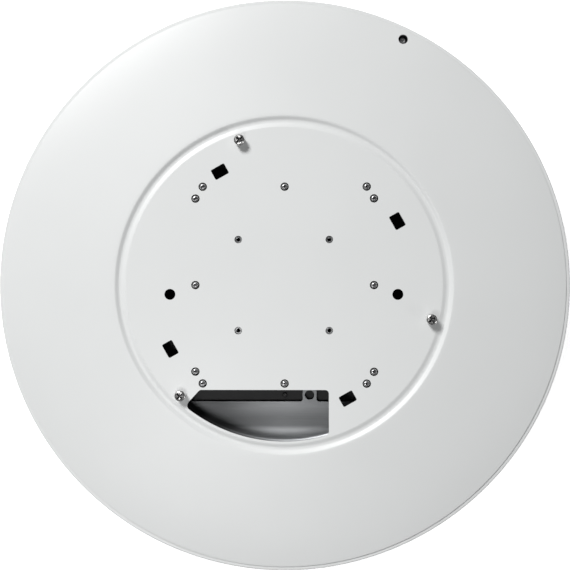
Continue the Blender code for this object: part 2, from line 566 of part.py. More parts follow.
def make_cable_baffle(material, screw_material):
    """Make the black moulding between the bay and the electronics, and its fixing screw."""
    baffle = box("cable_baffle", (-BAFFLE_HALF_X, BAFFLE_FRONT_Y, ON_CHASSIS),
                 (BAFFLE_HALF_X, BAFFLE_BACK_Y, BAFFLE_TOP), material)
    floor_top = ON_CHASSIS + BAFFLE_FLOOR
    middle_y = (BAFFLE_FRONT_Y + BAFFLE_BACK_Y) / 2
    floor = box("baffle_floor", (OVERLAP - BAFFLE_HALF_X, BAY_EDGE_Y + 2 * GAP, ON_CHASSIS + OVERLAP),
                (BAFFLE_HALF_X - OVERLAP, middle_y, floor_top))
    combine(baffle, [floor], "UNION")
    front, back = BAFFLE_FRONT_Y - BEYOND, BAFFLE_BACK_Y + BEYOND
    room = 0.0004
    jack_hole = box("jack_hole", (JACK_X - JACK_HALF_X - room, front, ON_MAIN - room),
                    (JACK_X + JACK_HALF_X + room, back, ON_MAIN + JACK_HEIGHT + room))
    tab_hole = box("tab_hole", (TAB_X - TAB_HALF_WIDTH - room, front, TRAY_LOW - room),
                   (TAB_X + TAB_HALF_WIDTH + room, back, TRAY_HIGH + room))
    button_hole = cylinder("button_hole", BUTTON_RADIUS + room, -BEYOND, BEYOND, (0, 0))
    button_hole.location = (BUTTON_X, middle_y, BUTTON_Z)
    button_hole.rotation_euler.x = math.pi / 2
    combine(baffle, [jack_hole, tab_hole, button_hole], "DIFFERENCE")
    seat = floor_top + GAP
    edge = BAFFLE_SCREW_HEIGHT / 2
    profile = [(0.0, seat + BAFFLE_SCREW_HEIGHT)]
    profile += [(BAFFLE_SCREW_HEAD - edge, seat + BAFFLE_SCREW_HEIGHT)]
    profile += [(BAFFLE_SCREW_HEAD, seat + edge), (BAFFLE_SCREW_HEAD, seat), (0.0, seat)]
    turned("baffle_screw", profile, BAFFLE_SCREW, screw_material, 14, False)


def make_main_board(board_material, metal):
    """Make the main board and the four standoffs that it sits on."""
    corners = rectangle(-MAIN_HALF_X, MAIN_HALF_X, MAIN_Y_LOW, MAIN_Y_HIGH)
    loop = rounded([(x, y, MAIN_CORNER) for x, y in corners], 2)
    flat("main_board", [loop], MAIN_LOW, MAIN_HIGH, board_material)
    places = [(x, y) for x in (-STANDOFF_X, STANDOFF_X) for y in STANDOFF_PLACES_Y]
    for number, place in enumerate(places, 1):
        cylinder(f"board_standoff_{number}", STANDOFF_RADIUS, ON_CHASSIS, MAIN_LOW - GAP, place,
                 metal, 12)


def make_jack(shell_material, insert_material):
    """Make the network socket: a metal shell round a plastic block with the plug's cavity."""
    front, back = JACK_FRONT_Y, JACK_BACK_Y
    low, high = ON_MAIN, ON_MAIN + JACK_HEIGHT
    shell = box("ethernet_jack_shell", (JACK_X - JACK_HALF_X, front, low),
                (JACK_X + JACK_HALF_X, back, high), shell_material)
    half = JACK_HALF_X - JACK_SHEET
    inside = box("shell_inside", (JACK_X - half, front - BEYOND, low + JACK_SHEET),
                 (JACK_X + half, back - JACK_SHEET, high - JACK_SHEET))
    combine(shell, [inside], "DIFFERENCE")
    skin = JACK_SHEET + GAP
    block = box("ethernet_jack_insert", (JACK_X - JACK_HALF_X + skin, front + GAP, low + skin),
                (JACK_X + JACK_HALF_X - skin, back - skin, high - skin), insert_material)
    cavity = box("plug_cavity", (JACK_X - PLUG_HALF_X, front - BEYOND, low + PLUG_FLOOR),
                 (JACK_X + PLUG_HALF_X, front + PLUG_DEPTH, high - PLUG_ROOF))
    latch = box("latch_cavity", (JACK_X - LATCH_HALF_X, front - BEYOND - OVERLAP, low + LATCH_FLOOR),
                (JACK_X + LATCH_HALF_X, front + PLUG_DEPTH - OVERLAP, low + PLUG_ROOF))
    combine(block, [cavity, latch], "DIFFERENCE")


def make_reset(button_material, switch_material):
    """Make the reset button in the baffle wall and the switch behind it."""
    button = cylinder("reset_button", BUTTON_RADIUS, -BUTTON_HALF_LENGTH, BUTTON_HALF_LENGTH, (0, 0),
                      button_material, 16)
    button.rotation_euler.x = math.pi / 2
    button.location = (BUTTON_X, BUTTON_Y, BUTTON_Z)
    box("reset_switch", (BUTTON_X - SWITCH_HALF_X, SWITCH_LOW_Y, ON_MAIN),
        (BUTTON_X + SWITCH_HALF_X, SWITCH_HIGH_Y, SWITCH_TOP), switch_material)


def make_board_parts(core, can, fins, metal):
    """Make the larger components on the main board."""
    core_bevel, shield_bevel = 0.0010, 0.0006
    box("poe_transformer", (*TRANSFORMER_LOW, ON_MAIN), (*TRANSFORMER_HIGH, ON_MAIN + TALL_PART),
        core, core_bevel)
    box("processor_shield", (*CAN_LOW, ON_MAIN), (*CAN_HIGH, ON_MAIN + CAN_HEIGHT), metal,
        shield_bevel)
    base = ON_MAIN + CAN_HEIGHT + GAP
    spreader = box("heat_spreader", (*CAN_LOW, base), (*CAN_HIGH, base + SPREADER_BASE), fins)
    blades = []
    for index in range(FINS):
        left = CAN_LOW[0] + 5 * OVERLAP + index * FIN_PITCH
        blades.append(box(f"fin_{index}", (left, CAN_LOW[1] + OVERLAP, base + SPREADER_BASE / 2),
                          (left + FIN_THICKNESS, CAN_HIGH[1] - OVERLAP, base + FIN_TOP)))
    combine(spreader, blades, "UNION")
    for number, y in enumerate(CAPACITOR_PLACES_Y, 1):
        cylinder(f"power_capacitor_{number}", CAPACITOR_RADIUS, ON_MAIN, ON_MAIN + TALL_PART,
                 (CAPACITOR_X, y), can)


def make_ribbon(material):
    """Make the flat cable that rises from the hub board and folds onto the main board."""
    top = ON_MAIN + RIBBON_THICKNESS
    far = RIBBON_RISE_Y + RIBBON_THICKNESS
    outline = [(RIBBON_RISE_Y, CARRIER_LOW), (far, CARRIER_LOW), (far, top)]
    outline += [(RIBBON_END_Y, top), (RIBBON_END_Y, ON_MAIN), (RIBBON_RISE_Y, ON_MAIN)]
    ribbon = flat("ribbon_cable", [outline], -RIBBON_X, RIBBON_X, material)
    ribbon.rotation_euler = (math.pi / 2, 0.0, math.pi / 2)


def main():
    """Build every piece."""
    for old in list(bpy.data.objects):
        bpy.data.objects.remove(old, do_unlink=True)
    scene = bpy.context.scene.collection
    scene.children.link(PARTS)
    scene.children.link(CUTTERS)
    white = make_material("powder_coat", (0.74, 0.75, 0.745), 0.5, 0.0)
    grille_white = make_material("grille_coat", (0.72, 0.73, 0.725), 0.55, 0.0)
    foam = make_material("foam", (0.03, 0.03, 0.032), 0.95, 0.0)
    steel = make_material("zinc_steel", (0.45, 0.46, 0.47), 0.4, 1.0)
    black_steel = make_material("black_steel", (0.02, 0.02, 0.021), 0.5, 0.0)
    brushed = make_material("brushed_aluminium", (0.30, 0.305, 0.31), 0.4, 1.0)
    dark_screw = make_material("dark_zinc", (0.10, 0.10, 0.105), 0.35, 1.0)
    nickel = make_material("nickel", (0.60, 0.60, 0.59), 0.2, 1.0)
    black = make_material("black_plastic", (0.012, 0.012, 0.013), 0.6, 0.0)
    board = make_material("board_green", (0.02, 0.10, 0.05), 0.5, 0.0)
    lens = make_material("light_diffuser", (0.80, 0.82, 0.82), 0.3, 0.0)
    sleeve = make_material("ribbon_grey", (0.40, 0.40, 0.42), 0.6, 0.0)

    axis = bpy.data.objects.new("grille_axis", None)
    PARTS.objects.link(axis)

    make_back_cover(white)
    make_grille(grille_white, axis)
    make_foam(foam, axis)
    make_twist_ring(steel, axis)
    make_status_light(board, lens, axis)
    make_pins(steel)
    make_lock(black, dark_screw)
    make_chassis(black_steel)
    make_carrier(black)
    make_mic_boards(board)
    make_mounting_frame(steel)
    make_plate_fixings(steel, dark_screw, nickel)
    make_cable_tray(brushed)
    make_cable_baffle(black, dark_screw)
    make_main_board(board, steel)
    make_jack(steel, black)
    make_reset(black, black)
    make_board_parts(black, dark_screw, brushed, steel)
    make_ribbon(sleeve)


main()
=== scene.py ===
import math

import bmesh
import bpy
import numpy as np
from mathutils import Matrix, Vector


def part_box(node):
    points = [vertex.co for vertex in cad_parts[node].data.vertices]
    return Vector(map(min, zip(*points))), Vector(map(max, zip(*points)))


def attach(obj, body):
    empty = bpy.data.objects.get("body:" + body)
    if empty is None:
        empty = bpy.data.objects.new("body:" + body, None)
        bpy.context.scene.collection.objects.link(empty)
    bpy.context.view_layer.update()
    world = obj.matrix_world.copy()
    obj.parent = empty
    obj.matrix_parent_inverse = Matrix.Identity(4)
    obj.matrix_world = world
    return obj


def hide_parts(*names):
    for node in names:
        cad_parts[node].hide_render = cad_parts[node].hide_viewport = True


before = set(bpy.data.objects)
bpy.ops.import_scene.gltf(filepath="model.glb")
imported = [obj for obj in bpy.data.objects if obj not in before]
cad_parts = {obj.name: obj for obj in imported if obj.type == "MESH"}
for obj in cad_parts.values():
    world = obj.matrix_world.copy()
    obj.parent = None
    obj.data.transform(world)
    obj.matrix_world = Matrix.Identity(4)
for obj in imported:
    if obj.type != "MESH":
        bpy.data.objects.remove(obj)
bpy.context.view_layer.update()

# The looks of a round ceiling array microphone, lying face down, in metres and in the CAD's own frame.
ROUND = 256                      # segments round the big turned pieces
SMALL_ROUND = 48                 # segments round a screw or a post
SHARP_ANGLE = 35.0               # edges sharper than this stay sharp in the shading
CHAMFER = 0.0002                 # on the edges of small turned pieces

# places and heights that the CAD nodes give
COVER_LOW, COVER_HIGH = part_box("back_cover")
GRILLE_LOW, GRILLE_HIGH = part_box("grille")
PLATE_TOP = COVER_HIGH.z
RIM_RADIUS = COVER_HIGH.x
RIM_BOTTOM = COVER_LOW.z
GRILLE_RADIUS = GRILLE_HIGH.x
LIP_TOP = GRILLE_HIGH.z

# back cover: flat plate, ring groove, shallow dome, turned-down rim
SHEET = 0.0015
GROOVE_INNER, GROOVE_OUTER = 0.1795, 0.1805       # its flat bottom
INNER_WALL, GROOVE_DEPTH = 0.0062, 0.0016
OUTER_WALL, GROOVE_RISE = 0.0061, 0.0026
DOME_START = GROOVE_OUTER + OUTER_WALL
DOME_SLOPE = 0.0665
CROWN_START, CROWN_DROP = 0.250, 0.0012
EDGE_ROUNDING = 0.0005
DOME_END = RIM_RADIUS - EDGE_ROUNDING

# holes in the plate
SLOT_CIRCLE, SLOT_ANGLES = 0.143, (29.4, 119.4, 209.4, 299.4)
SLOT_LENGTH, SLOT_WIDTH, SLOT_FILLET = 0.0166, 0.0124, 0.0015
ROUND_HOLES = ((-0.1251, -0.0102), (0.1251, -0.0102))
ROUND_HOLE_RADIUS = 0.006
OPENING_TOP_Y, OPENING_RIGHT_X, OPENING_ARC = -0.1151, 0.0495, 0.1717
OPENING_LEFT, OPENING_TOP_LEFT_X = (-0.1086, -0.1330), -0.0923
OPENING_FILLETS = (0.0055, 0.0050, 0.0040, 0.0040)     # from the arc's left end round to the top left
LOCK_HOLE, SCREW_HOLE, INSERT_HOLE, POST_HOLE = 0.00525, 0.0022, 0.0041, 0.0035
SHEET_EDGE = 0.00035              # rounding of the pressed sheet's cut edges

# cable bay
BAY_EDGE_Y, TRAY_FLOOR = -0.1308, 0.0220
TRAY_FILLET, FLOOR_LAP = 0.0060, 0.0002   # the floor runs this far into the curve
TAB_ROOT_FILLET, TAB_END_FILLET = 0.0028, 0.0010
TAB_X, TAB_HALF_WIDTH, TAB_END_Y = 0.0287, 0.0078, -0.1128
TAB_HOLE_Y, TAB_HOLE_RADIUS = -0.1235, 0.0053
TRAY_FLANGE_LEFT, TRAY_FLANGE_RIGHT = -0.090, 0.100
PLUG_PITCH, PLUG_CONTACTS = 0.00102, 8

# grille
LIP_RISE, LIP_EDGE = 0.0004, 0.00015      # the lip's rise above the CAD one, its edge's chamfer
GRILLE_SHEET = 0.0012
SEAM, SHOULDER_RADIUS = 0.00012, 0.0016
LIP_INNER = RIM_RADIUS + SEAM
FRONT_ROUNDING = 0.0080
HOLE_PITCH, HOLE_RADIUS = 0.0060, 0.0019
FACE_RADIUS = GRILLE_RADIUS - FRONT_ROUNDING
PATTERN_RADIUS = 0.3035
FACE_SECTORS = 6
LIGHT_BORDER, LIGHT_GAP = 0.0050, 0.0005          # plain sheet and clearance round the light bar
WINDOW_FILLET = 0.001
FOAM_EDGE, FOAM_UNEVEN = 0.0012, 0.0001
BEYOND = 0.001                   # how far a cutter passes the faces that it cuts

# camera and lights
CAMERA_OFFSET, CAMERA_HEIGHT = (0.0148, -0.0016), 1.075      # over the plate
CAMERA_AIM, FOCAL_LENGTH = (0.0014, 0.0001), 61.89
LIGHT_AIM, SURROUND_STRENGTH, FLOOR_GLOW = (0.0, 0.0, 0.04), 0.10, 0.75
FLOOR_RADIUS, FLOOR_TOP, FLOOR_THICKNESS = 3.0, -0.0006, 0.0034

SCREWS = [f"cover_screw_{n}" for n in range(1, 13)]
INSERTS = [f"vesa_insert_{n}" for n in range(1, 5)]
POSTS = [f"hanger_post_{n}" for n in range(1, 4)]


# ---------------------------------------------------------------- shapes

def centre(node):
    """Return the middle of a CAD node's box."""
    low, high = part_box(node)
    return (low + high) / 2


def polar(radius, degrees, at=(0.0, 0.0)):
    """Return the point at this radius and angle about a centre."""
    angle = math.radians(degrees)
    return at[0] + radius * math.cos(angle), at[1] + radius * math.sin(angle)


def arc(radius, start, end, steps, at=(0.0, 0.0)):
    """Return points along an arc, angles in degrees."""
    return [polar(radius, start + (end - start) * i / steps, at) for i in range(steps + 1)]


def rounded(corners, steps=6):
    """Round the corners of an outline given as (x, y, fillet radius)."""
    outline = []
    for i, (x, y, fillet) in enumerate(corners):
        if not fillet:
            outline.append((x, y))
            continue
        before, after = corners[i - 1], corners[(i + 1) % len(corners)]
        to_before = math.atan2(before[1] - y, before[0] - x)
        to_after = math.atan2(after[1] - y, after[0] - x)
        half = ((to_after - to_before + math.pi) % (2 * math.pi) - math.pi) / 2
        middle = to_before + half
        reach = fillet / abs(math.sin(half))
        hub = (x + reach * math.cos(middle), y + reach * math.sin(middle))
        sweep = math.degrees(math.copysign(math.pi / 2 - abs(half), half))
        facing = math.degrees(middle) + 180.0
        outline += arc(fillet, facing + sweep, facing - sweep, steps, hub)
    return outline


def new_piece(name, mesh, material):
    """Link a mesh as a piece, shaded smooth but for its sharp edges."""
    piece = bpy.data.objects.new(name, mesh)
    bpy.context.scene.collection.objects.link(piece)
    if material is not None:
        mesh.materials.clear()
        mesh.materials.append(material)
    mesh.shade_smooth()
    mesh.set_sharp_from_angle(angle=math.radians(SHARP_ANGLE))
    return piece


def mesh_from(name, points, faces):
    """Make a mesh with its faces turned outward."""
    mesh = bpy.data.meshes.new(name)
    mesh.from_pydata([tuple(p) for p in points], [], faces)
    shape = bmesh.new()
    shape.from_mesh(mesh)
    bmesh.ops.recalc_face_normals(shape, faces=shape.faces)
    shape.to_mesh(mesh)
    shape.free()
    return mesh


def round_shape(radius):
    """Return a radius for every angle: a circle."""
    return lambda angle: radius


def hexagon_shape(across):
    """Return a radius for every angle: a hexagon this far across its flats."""
    sixth = math.pi / 3
    return lambda angle: across / 2 / math.cos((angle + sixth / 2) % sixth - sixth / 2)


def cross_shape(reach, half_width, slot_reach):
    """Return a radius for every angle: a cross recess joined to a longer straight slot."""
    def bar(angle, length, half):
        along, aside = abs(math.cos(angle)), abs(math.sin(angle))
        return min(length / max(along, 1e-6), half / max(aside, 1e-6))

    def shape(angle):
        across = max(bar(angle, reach, half_width), bar(angle + math.pi / 2, reach, half_width))
        return max(across, bar(angle, slot_reach, half_width * 0.8))
    return shape


def loft(name, rings, material, at=(0.0, 0.0), turn=0.0, segments=SMALL_ROUND, closed=False):
    """Skin rings of (shape, z) about an upright axis; open ends are capped, a closed loft joins up."""
    points, faces = [], []
    for shape, z in rings:
        for i in range(segments):
            angle = 2 * math.pi * i / segments
            radius = shape(angle) if callable(shape) else shape
            x = radius * math.cos(angle + turn)
            y = radius * math.sin(angle + turn)
            points.append((at[0] + x, at[1] + y, z))
    count = len(rings)
    for r in range(count if closed else count - 1):
        here, there = r * segments, (r + 1) % count * segments
        for i in range(segments):
            j = (i + 1) % segments
            faces.append((here + i, here + j, there + j, there + i))
    if not closed:
        faces.append(tuple(range(segments)))
        faces.append(tuple(range((count - 1) * segments, count * segments)))
    return new_piece(name, mesh_from(name, points, faces), material)


def prism(name, outline, z_low, z_high, material=None):
    """Extrude one closed outline upward."""
    count = len(outline)
    points = [(x, y, z) for z in (z_low, z_high) for x, y in outline]
    faces = [tuple(range(count)), tuple(range(count, 2 * count))]
    faces += [(i, (i + 1) % count, (i + 1) % count + count, i + count) for i in range(count)]
    return new_piece(name, mesh_from(name, points, faces), material)


def block(name, low, high, material=None):
    """Make a block between two corners."""
    outline = [(low[0], low[1]), (high[0], low[1]), (high[0], high[1]), (low[0], high[1])]
    return prism(name, outline, low[2], high[2], material)


def tidy_apply(piece):
    """Apply a piece's modifiers to its mesh."""
    evaluated = piece.evaluated_get(bpy.context.evaluated_depsgraph_get())
    mesh = bpy.data.meshes.new_from_object(evaluated)
    piece.modifiers.clear()
    old = piece.data
    piece.data = mesh
    bpy.data.meshes.remove(old)
    return piece


def combine(piece, others, operation):
    """Cut other shapes out of a piece, or join them to it, and apply that."""
    group = bpy.data.collections.new(piece.name + "_tools")
    for other in others:
        group.objects.link(other)
    modifier = piece.modifiers.new("tools", "BOOLEAN")
    modifier.operation = operation
    modifier.solver = "EXACT"
    modifier.operand_type = "COLLECTION"
    modifier.collection = group
    bpy.context.view_layer.update()
    tidy_apply(piece)
    for other in others:
        bpy.data.objects.remove(other, do_unlink=True)
    bpy.data.collections.remove(group)
    return piece


def soften(piece, width, segments=2, degrees=40.0):
    """Round a piece's sharp edges a little, and keep its flat faces flat."""
    edge = piece.modifiers.new("edges", "BEVEL")
    edge.width = width
    edge.segments = segments
    edge.limit_method = "ANGLE"
    edge.angle_limit = math.radians(degrees)
    edge.harden_normals = True
    return piece


def joined(name, pieces, material):
    """Join several pieces into one object."""
    shape = bmesh.new()
    for piece in pieces:
        shape.from_mesh(piece.data)
    mesh = bpy.data.meshes.new(name)
    shape.to_mesh(mesh)
    shape.free()
    for piece in pieces:
        bpy.data.objects.remove(piece, do_unlink=True)
    return new_piece(name, mesh, material)


def settle(piece, body, slot, *nodes):
    """Hand a finished piece to its body and hide the CAD nodes that it stands for; the slot is not used."""
    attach(piece, body)
    if nodes:
        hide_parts(*nodes)
    return piece


# ---------------------------------------------------------------- materials

class Nodes:
    """A material's node tree, built by short calls."""

    def __init__(self, name, color, roughness, metallic=0.0):
        self.material = bpy.data.materials.new(name)
        self.material.use_nodes = True
        self.tree = self.material.node_tree
        self.shader = self.tree.nodes["Principled BSDF"]
        self.shader.inputs["Base Color"].default_value = (*color, 1.0)
        self.shader.inputs["Roughness"].default_value = roughness
        self.shader.inputs["Metallic"].default_value = metallic
        self.place = self.tree.nodes.new("ShaderNodeTexCoord").outputs["Object"]

    def stretch(self, scale):
        """Scale the place by axis."""
        node = self.tree.nodes.new("ShaderNodeMapping")
        node.inputs["Scale"].default_value = scale
        self.tree.links.new(self.place, node.inputs["Vector"])
        return node.outputs["Vector"]

    def noise(self, scale, detail=2.0, roughness=0.5, vector=None):
        """A noise value from 0 to 1."""
        node = self.tree.nodes.new("ShaderNodeTexNoise")
        node.inputs["Scale"].default_value = scale
        node.inputs["Detail"].default_value = detail
        node.inputs["Roughness"].default_value = roughness
        self.tree.links.new(vector or self.place, node.inputs["Vector"])
        return node.outputs["Fac"]

    def cells(self, scale):
        """Distance to the nearest of scattered points."""
        node = self.tree.nodes.new("ShaderNodeTexVoronoi")
        node.inputs["Scale"].default_value = scale
        self.tree.links.new(self.place, node.inputs["Vector"])
        return node.outputs["Distance"]

    def wave(self, scale, direction="X", distortion=0.0):
        """Soft stripes."""
        node = self.tree.nodes.new("ShaderNodeTexWave")
        node.wave_type = "BANDS"
        node.bands_direction = direction
        node.inputs["Scale"].default_value = scale
        node.inputs["Distortion"].default_value = distortion
        self.tree.links.new(self.place, node.inputs["Vector"])
        return node.outputs["Fac"]

    def remap(self, value, low, high, to_low, to_high, ease="LINEAR"):
        """Move a value from one range to another, held at its ends."""
        node = self.tree.nodes.new("ShaderNodeMapRange")
        node.interpolation_type = ease
        for socket, number in zip(("From Min", "From Max", "To Min", "To Max"),
                                  (low, high, to_low, to_high)):
            node.inputs[socket].default_value = number
        self.tree.links.new(value, node.inputs["Value"])
        return node.outputs["Result"]

    def combine_values(self, a, b, operation="ADD"):
        """Work out one operation on two values, each a number or another output."""
        node = self.tree.nodes.new("ShaderNodeMath")
        node.operation = operation
        for socket, value in zip(node.inputs, (a, b)):
            if isinstance(value, (int, float)):
                socket.default_value = value
            else:
                self.tree.links.new(value, socket)
        return node.outputs["Value"]

    def mix(self, share, first, second):
        """Blend two colours, each a tuple or another output."""
        node = self.tree.nodes.new("ShaderNodeMix")
        node.data_type = "RGBA"
        self.tree.links.new(share, node.inputs["Factor"])
        for socket, color in ((node.inputs[6], first), (node.inputs[7], second)):
            if isinstance(color, tuple):
                socket.default_value = (*color, 1.0)
            else:
                self.tree.links.new(color, socket)
        return node.outputs[2]

    def paint(self, color):
        """Drive the base colour."""
        self.tree.links.new(color, self.shader.inputs["Base Color"])

    def polish(self, value):
        """Drive the roughness."""
        self.tree.links.new(value, self.shader.inputs["Roughness"])

    def emboss(self, height, distance, strength=1.0):
        """Add bump; later calls stack on earlier ones."""
        node = self.tree.nodes.new("ShaderNodeBump")
        node.inputs["Distance"].default_value = distance
        node.inputs["Strength"].default_value = strength
        self.tree.links.new(height, node.inputs["Height"])
        target = self.shader.inputs["Normal"]
        if target.links:
            self.tree.links.new(target.links[0].from_socket, node.inputs["Normal"])
        self.tree.links.new(node.outputs["Normal"], target)


def shade(color, factor):
    """Return a colour made lighter or darker."""
    return tuple(min(1.0, c * factor) for c in color)


def powder_coat(name, color, roughness):
    """Satin white paint with fine orange peel and a faint mottling."""
    m = Nodes(name, color, roughness)
    mottle = m.remap(m.noise(9.0, 3.0), 0.3, 0.7, 0.0, 1.0)
    m.paint(m.mix(mottle, shade(color, 0.988), shade(color, 1.010)))
    peel = m.noise(900.0, 2.0, 0.5)
    m.polish(m.remap(peel, 0.3, 0.7, roughness - 0.04, roughness + 0.05))
    m.emboss(peel, 0.00005, 0.25)
    return m.material


def plated_steel(name, color, roughness):
    """Plated metal with a faint cloud and fine scratches."""
    m = Nodes(name, color, roughness, 1.0)
    cloud = m.remap(m.noise(160.0, 4.0, 0.6), 0.3, 0.7, 0.0, 1.0)
    m.paint(m.mix(cloud, shade(color, 0.88), shade(color, 1.08)))
    fine = m.noise(2200.0, 3.0, 0.6, m.stretch((1.0, 0.15, 1.0)))
    m.polish(m.remap(fine, 0.25, 0.75, roughness - 0.07, roughness + 0.10))
    m.emboss(fine, 0.00001, 0.2)
    return m.material


def brushed_metal(name, color, roughness):
    """Sheet metal brushed along X."""
    m = Nodes(name, color, roughness, 1.0)
    lines = m.noise(1400.0, 4.0, 0.65, m.stretch((0.018, 1.0, 1.0)))
    broad = m.noise(60.0, 3.0, 0.6, m.stretch((0.25, 1.0, 1.0)))
    both = m.combine_values(m.combine_values(lines, 0.6, "MULTIPLY"),
                            m.combine_values(broad, 0.4, "MULTIPLY"))
    m.paint(m.mix(m.remap(both, 0.3, 0.7, 0.0, 1.0), shade(color, 0.80), shade(color, 1.15)))
    m.polish(m.remap(lines, 0.3, 0.7, roughness - 0.06, roughness + 0.08))
    m.emboss(lines, 0.00003, 0.35)
    return m.material


def painted_shade_tray_metal(name, color, roughness):
    """Brushed sheet with painted shade toward its left end, a painted reflection along its top, a painted
    shade band below that and a painted highlight along its lower edge.
    """
    m = Nodes(name, color, roughness, 1.0)
    lines = m.noise(1400.0, 4.0, 0.65, m.stretch((0.018, 1.0, 1.0)))
    broad = m.noise(60.0, 3.0, 0.6, m.stretch((0.25, 1.0, 1.0)))
    grain = m.remap(m.combine_values(lines, broad, "ADD"), 0.7, 1.3, 0.44, 0.56)
    axes = m.tree.nodes.new("ShaderNodeSeparateXYZ")
    m.tree.links.new(m.place, axes.inputs["Vector"])
    x, y = axes.outputs["X"], axes.outputs["Y"]
    # painted shade: darker toward the left end, where the plate's edge shades the tray
    along = m.remap(x, -0.080, 0.012, 0.26, 1.0, "SMOOTHSTEP")
    # painted reflection near the top, falling to a painted shade band lower down
    band = m.remap(y, -0.152, -0.130, 0.62, 1.3, "SMOOTHSTEP")
    # painted highlight along the lower edge, where the sheet curves up to the wall
    lip = m.remap(y, -0.164, -0.157, 0.90, 0.0, "SMOOTHSTEP")
    # the painted shade, reflection and highlight together
    painted_light = m.combine_values(along, m.combine_values(band, lip, "ADD"), "MULTIPLY")
    share = m.combine_values(grain, painted_light, "MULTIPLY")
    m.paint(m.mix(share, (0.0, 0.0, 0.0), shade(color, 2.0)))
    m.polish(m.remap(lines, 0.3, 0.7, roughness - 0.06, roughness + 0.08))
    m.emboss(lines, 0.00003, 0.35)
    return m.material


def moulded_plastic(name, color, roughness):
    """Moulded plastic with a fine spark-eroded grain."""
    m = Nodes(name, color, roughness)
    spark = m.cells(1600.0)
    broad = m.remap(m.noise(40.0, 3.0), 0.3, 0.7, 0.0, 1.0)
    m.paint(m.mix(broad, shade(color, 0.85), shade(color, 1.2)))
    m.polish(m.remap(spark, 0.0, 0.6, roughness - 0.06, roughness + 0.08))
    m.emboss(spark, 0.00004, 0.3)
    return m.material


def foam_material():
    """Open-cell black foam: pits between thin walls."""
    m = Nodes("open_cell_foam", (0.022, 0.022, 0.024), 0.95)
    pits = m.cells(1100.0)
    fine = m.cells(2600.0)
    depth = m.combine_values(pits, m.combine_values(fine, 0.5, "MULTIPLY"))
    # the pits are darker than the walls between them: painted shade
    m.paint(m.mix(m.remap(depth, 0.1, 0.9, 0.0, 1.0), (0.008, 0.008, 0.009), (0.045, 0.045, 0.048)))
    m.emboss(depth, 0.0006, 0.9)
    m.shader.inputs["Sheen Weight"].default_value = 0.15
    return m.material


def circuit_material():
    """Green solder mask over copper traces and pours."""
    mask, copper = (0.012, 0.085, 0.040), (0.030, 0.150, 0.070)
    m = Nodes("circuit_board_mask", mask, 0.32)
    rows = m.wave(34.0, "X", 1.2)
    columns = m.wave(27.0, "Y", 1.6)
    pour = m.cells(90.0)
    traces = m.remap(m.combine_values(rows, columns, "MULTIPLY"), 0.42, 0.50, 0.0, 1.0)
    pours = m.remap(pour, 0.55, 0.60, 0.0, 1.0)
    m.paint(m.mix(m.combine_values(traces, pours, "MAXIMUM"), mask, copper))
    m.emboss(traces, 0.00003, 0.5)
    m.polish(m.remap(m.noise(300.0), 0.3, 0.7, 0.27, 0.40))
    return m.material


def diffuser_material():
    """Milky plastic that lets light through."""
    m = Nodes("milky_diffuser", (0.80, 0.83, 0.83), 0.35)
    m.shader.inputs["Subsurface Weight"].default_value = 0.4
    m.shader.inputs["Subsurface Radius"].default_value = (0.004, 0.004, 0.004)
    haze = m.noise(700.0, 2.0)
    m.paint(m.mix(haze, (0.76, 0.79, 0.79), (0.83, 0.86, 0.86)))
    m.emboss(haze, 0.00003, 0.3)
    return m.material


def ribbon_material():
    """Grey flat cable: parallel wires."""
    m = Nodes("flat_cable", (0.42, 0.42, 0.44), 0.45)
    wires = m.wave(125.0, "X")
    # darker in the grooves between the wires: painted shade
    m.paint(m.mix(wires, (0.25, 0.25, 0.26), (0.52, 0.52, 0.54)))
    m.emboss(wires, 0.0004, 0.8)
    return m.material


def floor_material():
    """Bright seamless paper, a little self-lit so that it stays white under the object."""
    m = Nodes("studio_floor", (0.90, 0.90, 0.90), 0.8)
    m.shader.inputs["Emission Color"].default_value = (1.0, 1.0, 1.0, 1.0)
    m.shader.inputs["Emission Strength"].default_value = FLOOR_GLOW
    fibre = m.noise(30.0, 4.0)
    m.paint(m.mix(fibre, (0.89, 0.89, 0.89), (0.91, 0.91, 0.91)))
    return m.material


WHITE = powder_coat("satin_powder_coat", (0.645, 0.655, 0.652), 0.42)
GRILLE_WHITE = powder_coat("grille_powder_coat", (0.640, 0.650, 0.647), 0.46)
BRIGHT_ZINC = plated_steel("bright_zinc", (0.52, 0.53, 0.54), 0.32)
NICKEL = plated_steel("bright_nickel", (0.66, 0.655, 0.645), 0.26)
SCREW_HEAD = plated_steel("polished_screw_head", (0.52, 0.52, 0.53), 0.27)
INSERT_METAL = plated_steel("insert_steel", (0.50, 0.505, 0.51), 0.34)
BLACK_OXIDE = moulded_plastic("black_oxide_steel", (0.018, 0.018, 0.019), 0.38)
# near-black for the driver recesses: painted shade
RECESS_PAINTED_SHADE = moulded_plastic("driver_recess_painted_shade", (0.020, 0.020, 0.021), 0.30)
# the tray's brushed sheet, with painted shade, a painted reflection and a painted highlight in its colour
TRAY_METAL_PAINTED_SHADE = painted_shade_tray_metal("brushed_sheet_painted_shade", (0.20, 0.205, 0.21), 0.42)
GOLD = plated_steel("gold_contact", (0.75, 0.56, 0.22), 0.22)
BRUSHED = brushed_metal("brushed_aluminium_sheet", (0.20, 0.205, 0.21), 0.42)
BLACK_STEEL = moulded_plastic("black_enamelled_steel", (0.020, 0.020, 0.021), 0.45)
BLACK_PLASTIC = moulded_plastic("black_moulded_plastic", (0.014, 0.014, 0.015), 0.55)
FOAM = foam_material()
CIRCUIT = circuit_material()
DIFFUSER = diffuser_material()
RIBBON = ribbon_material()


# ---------------------------------------------------------------- back cover

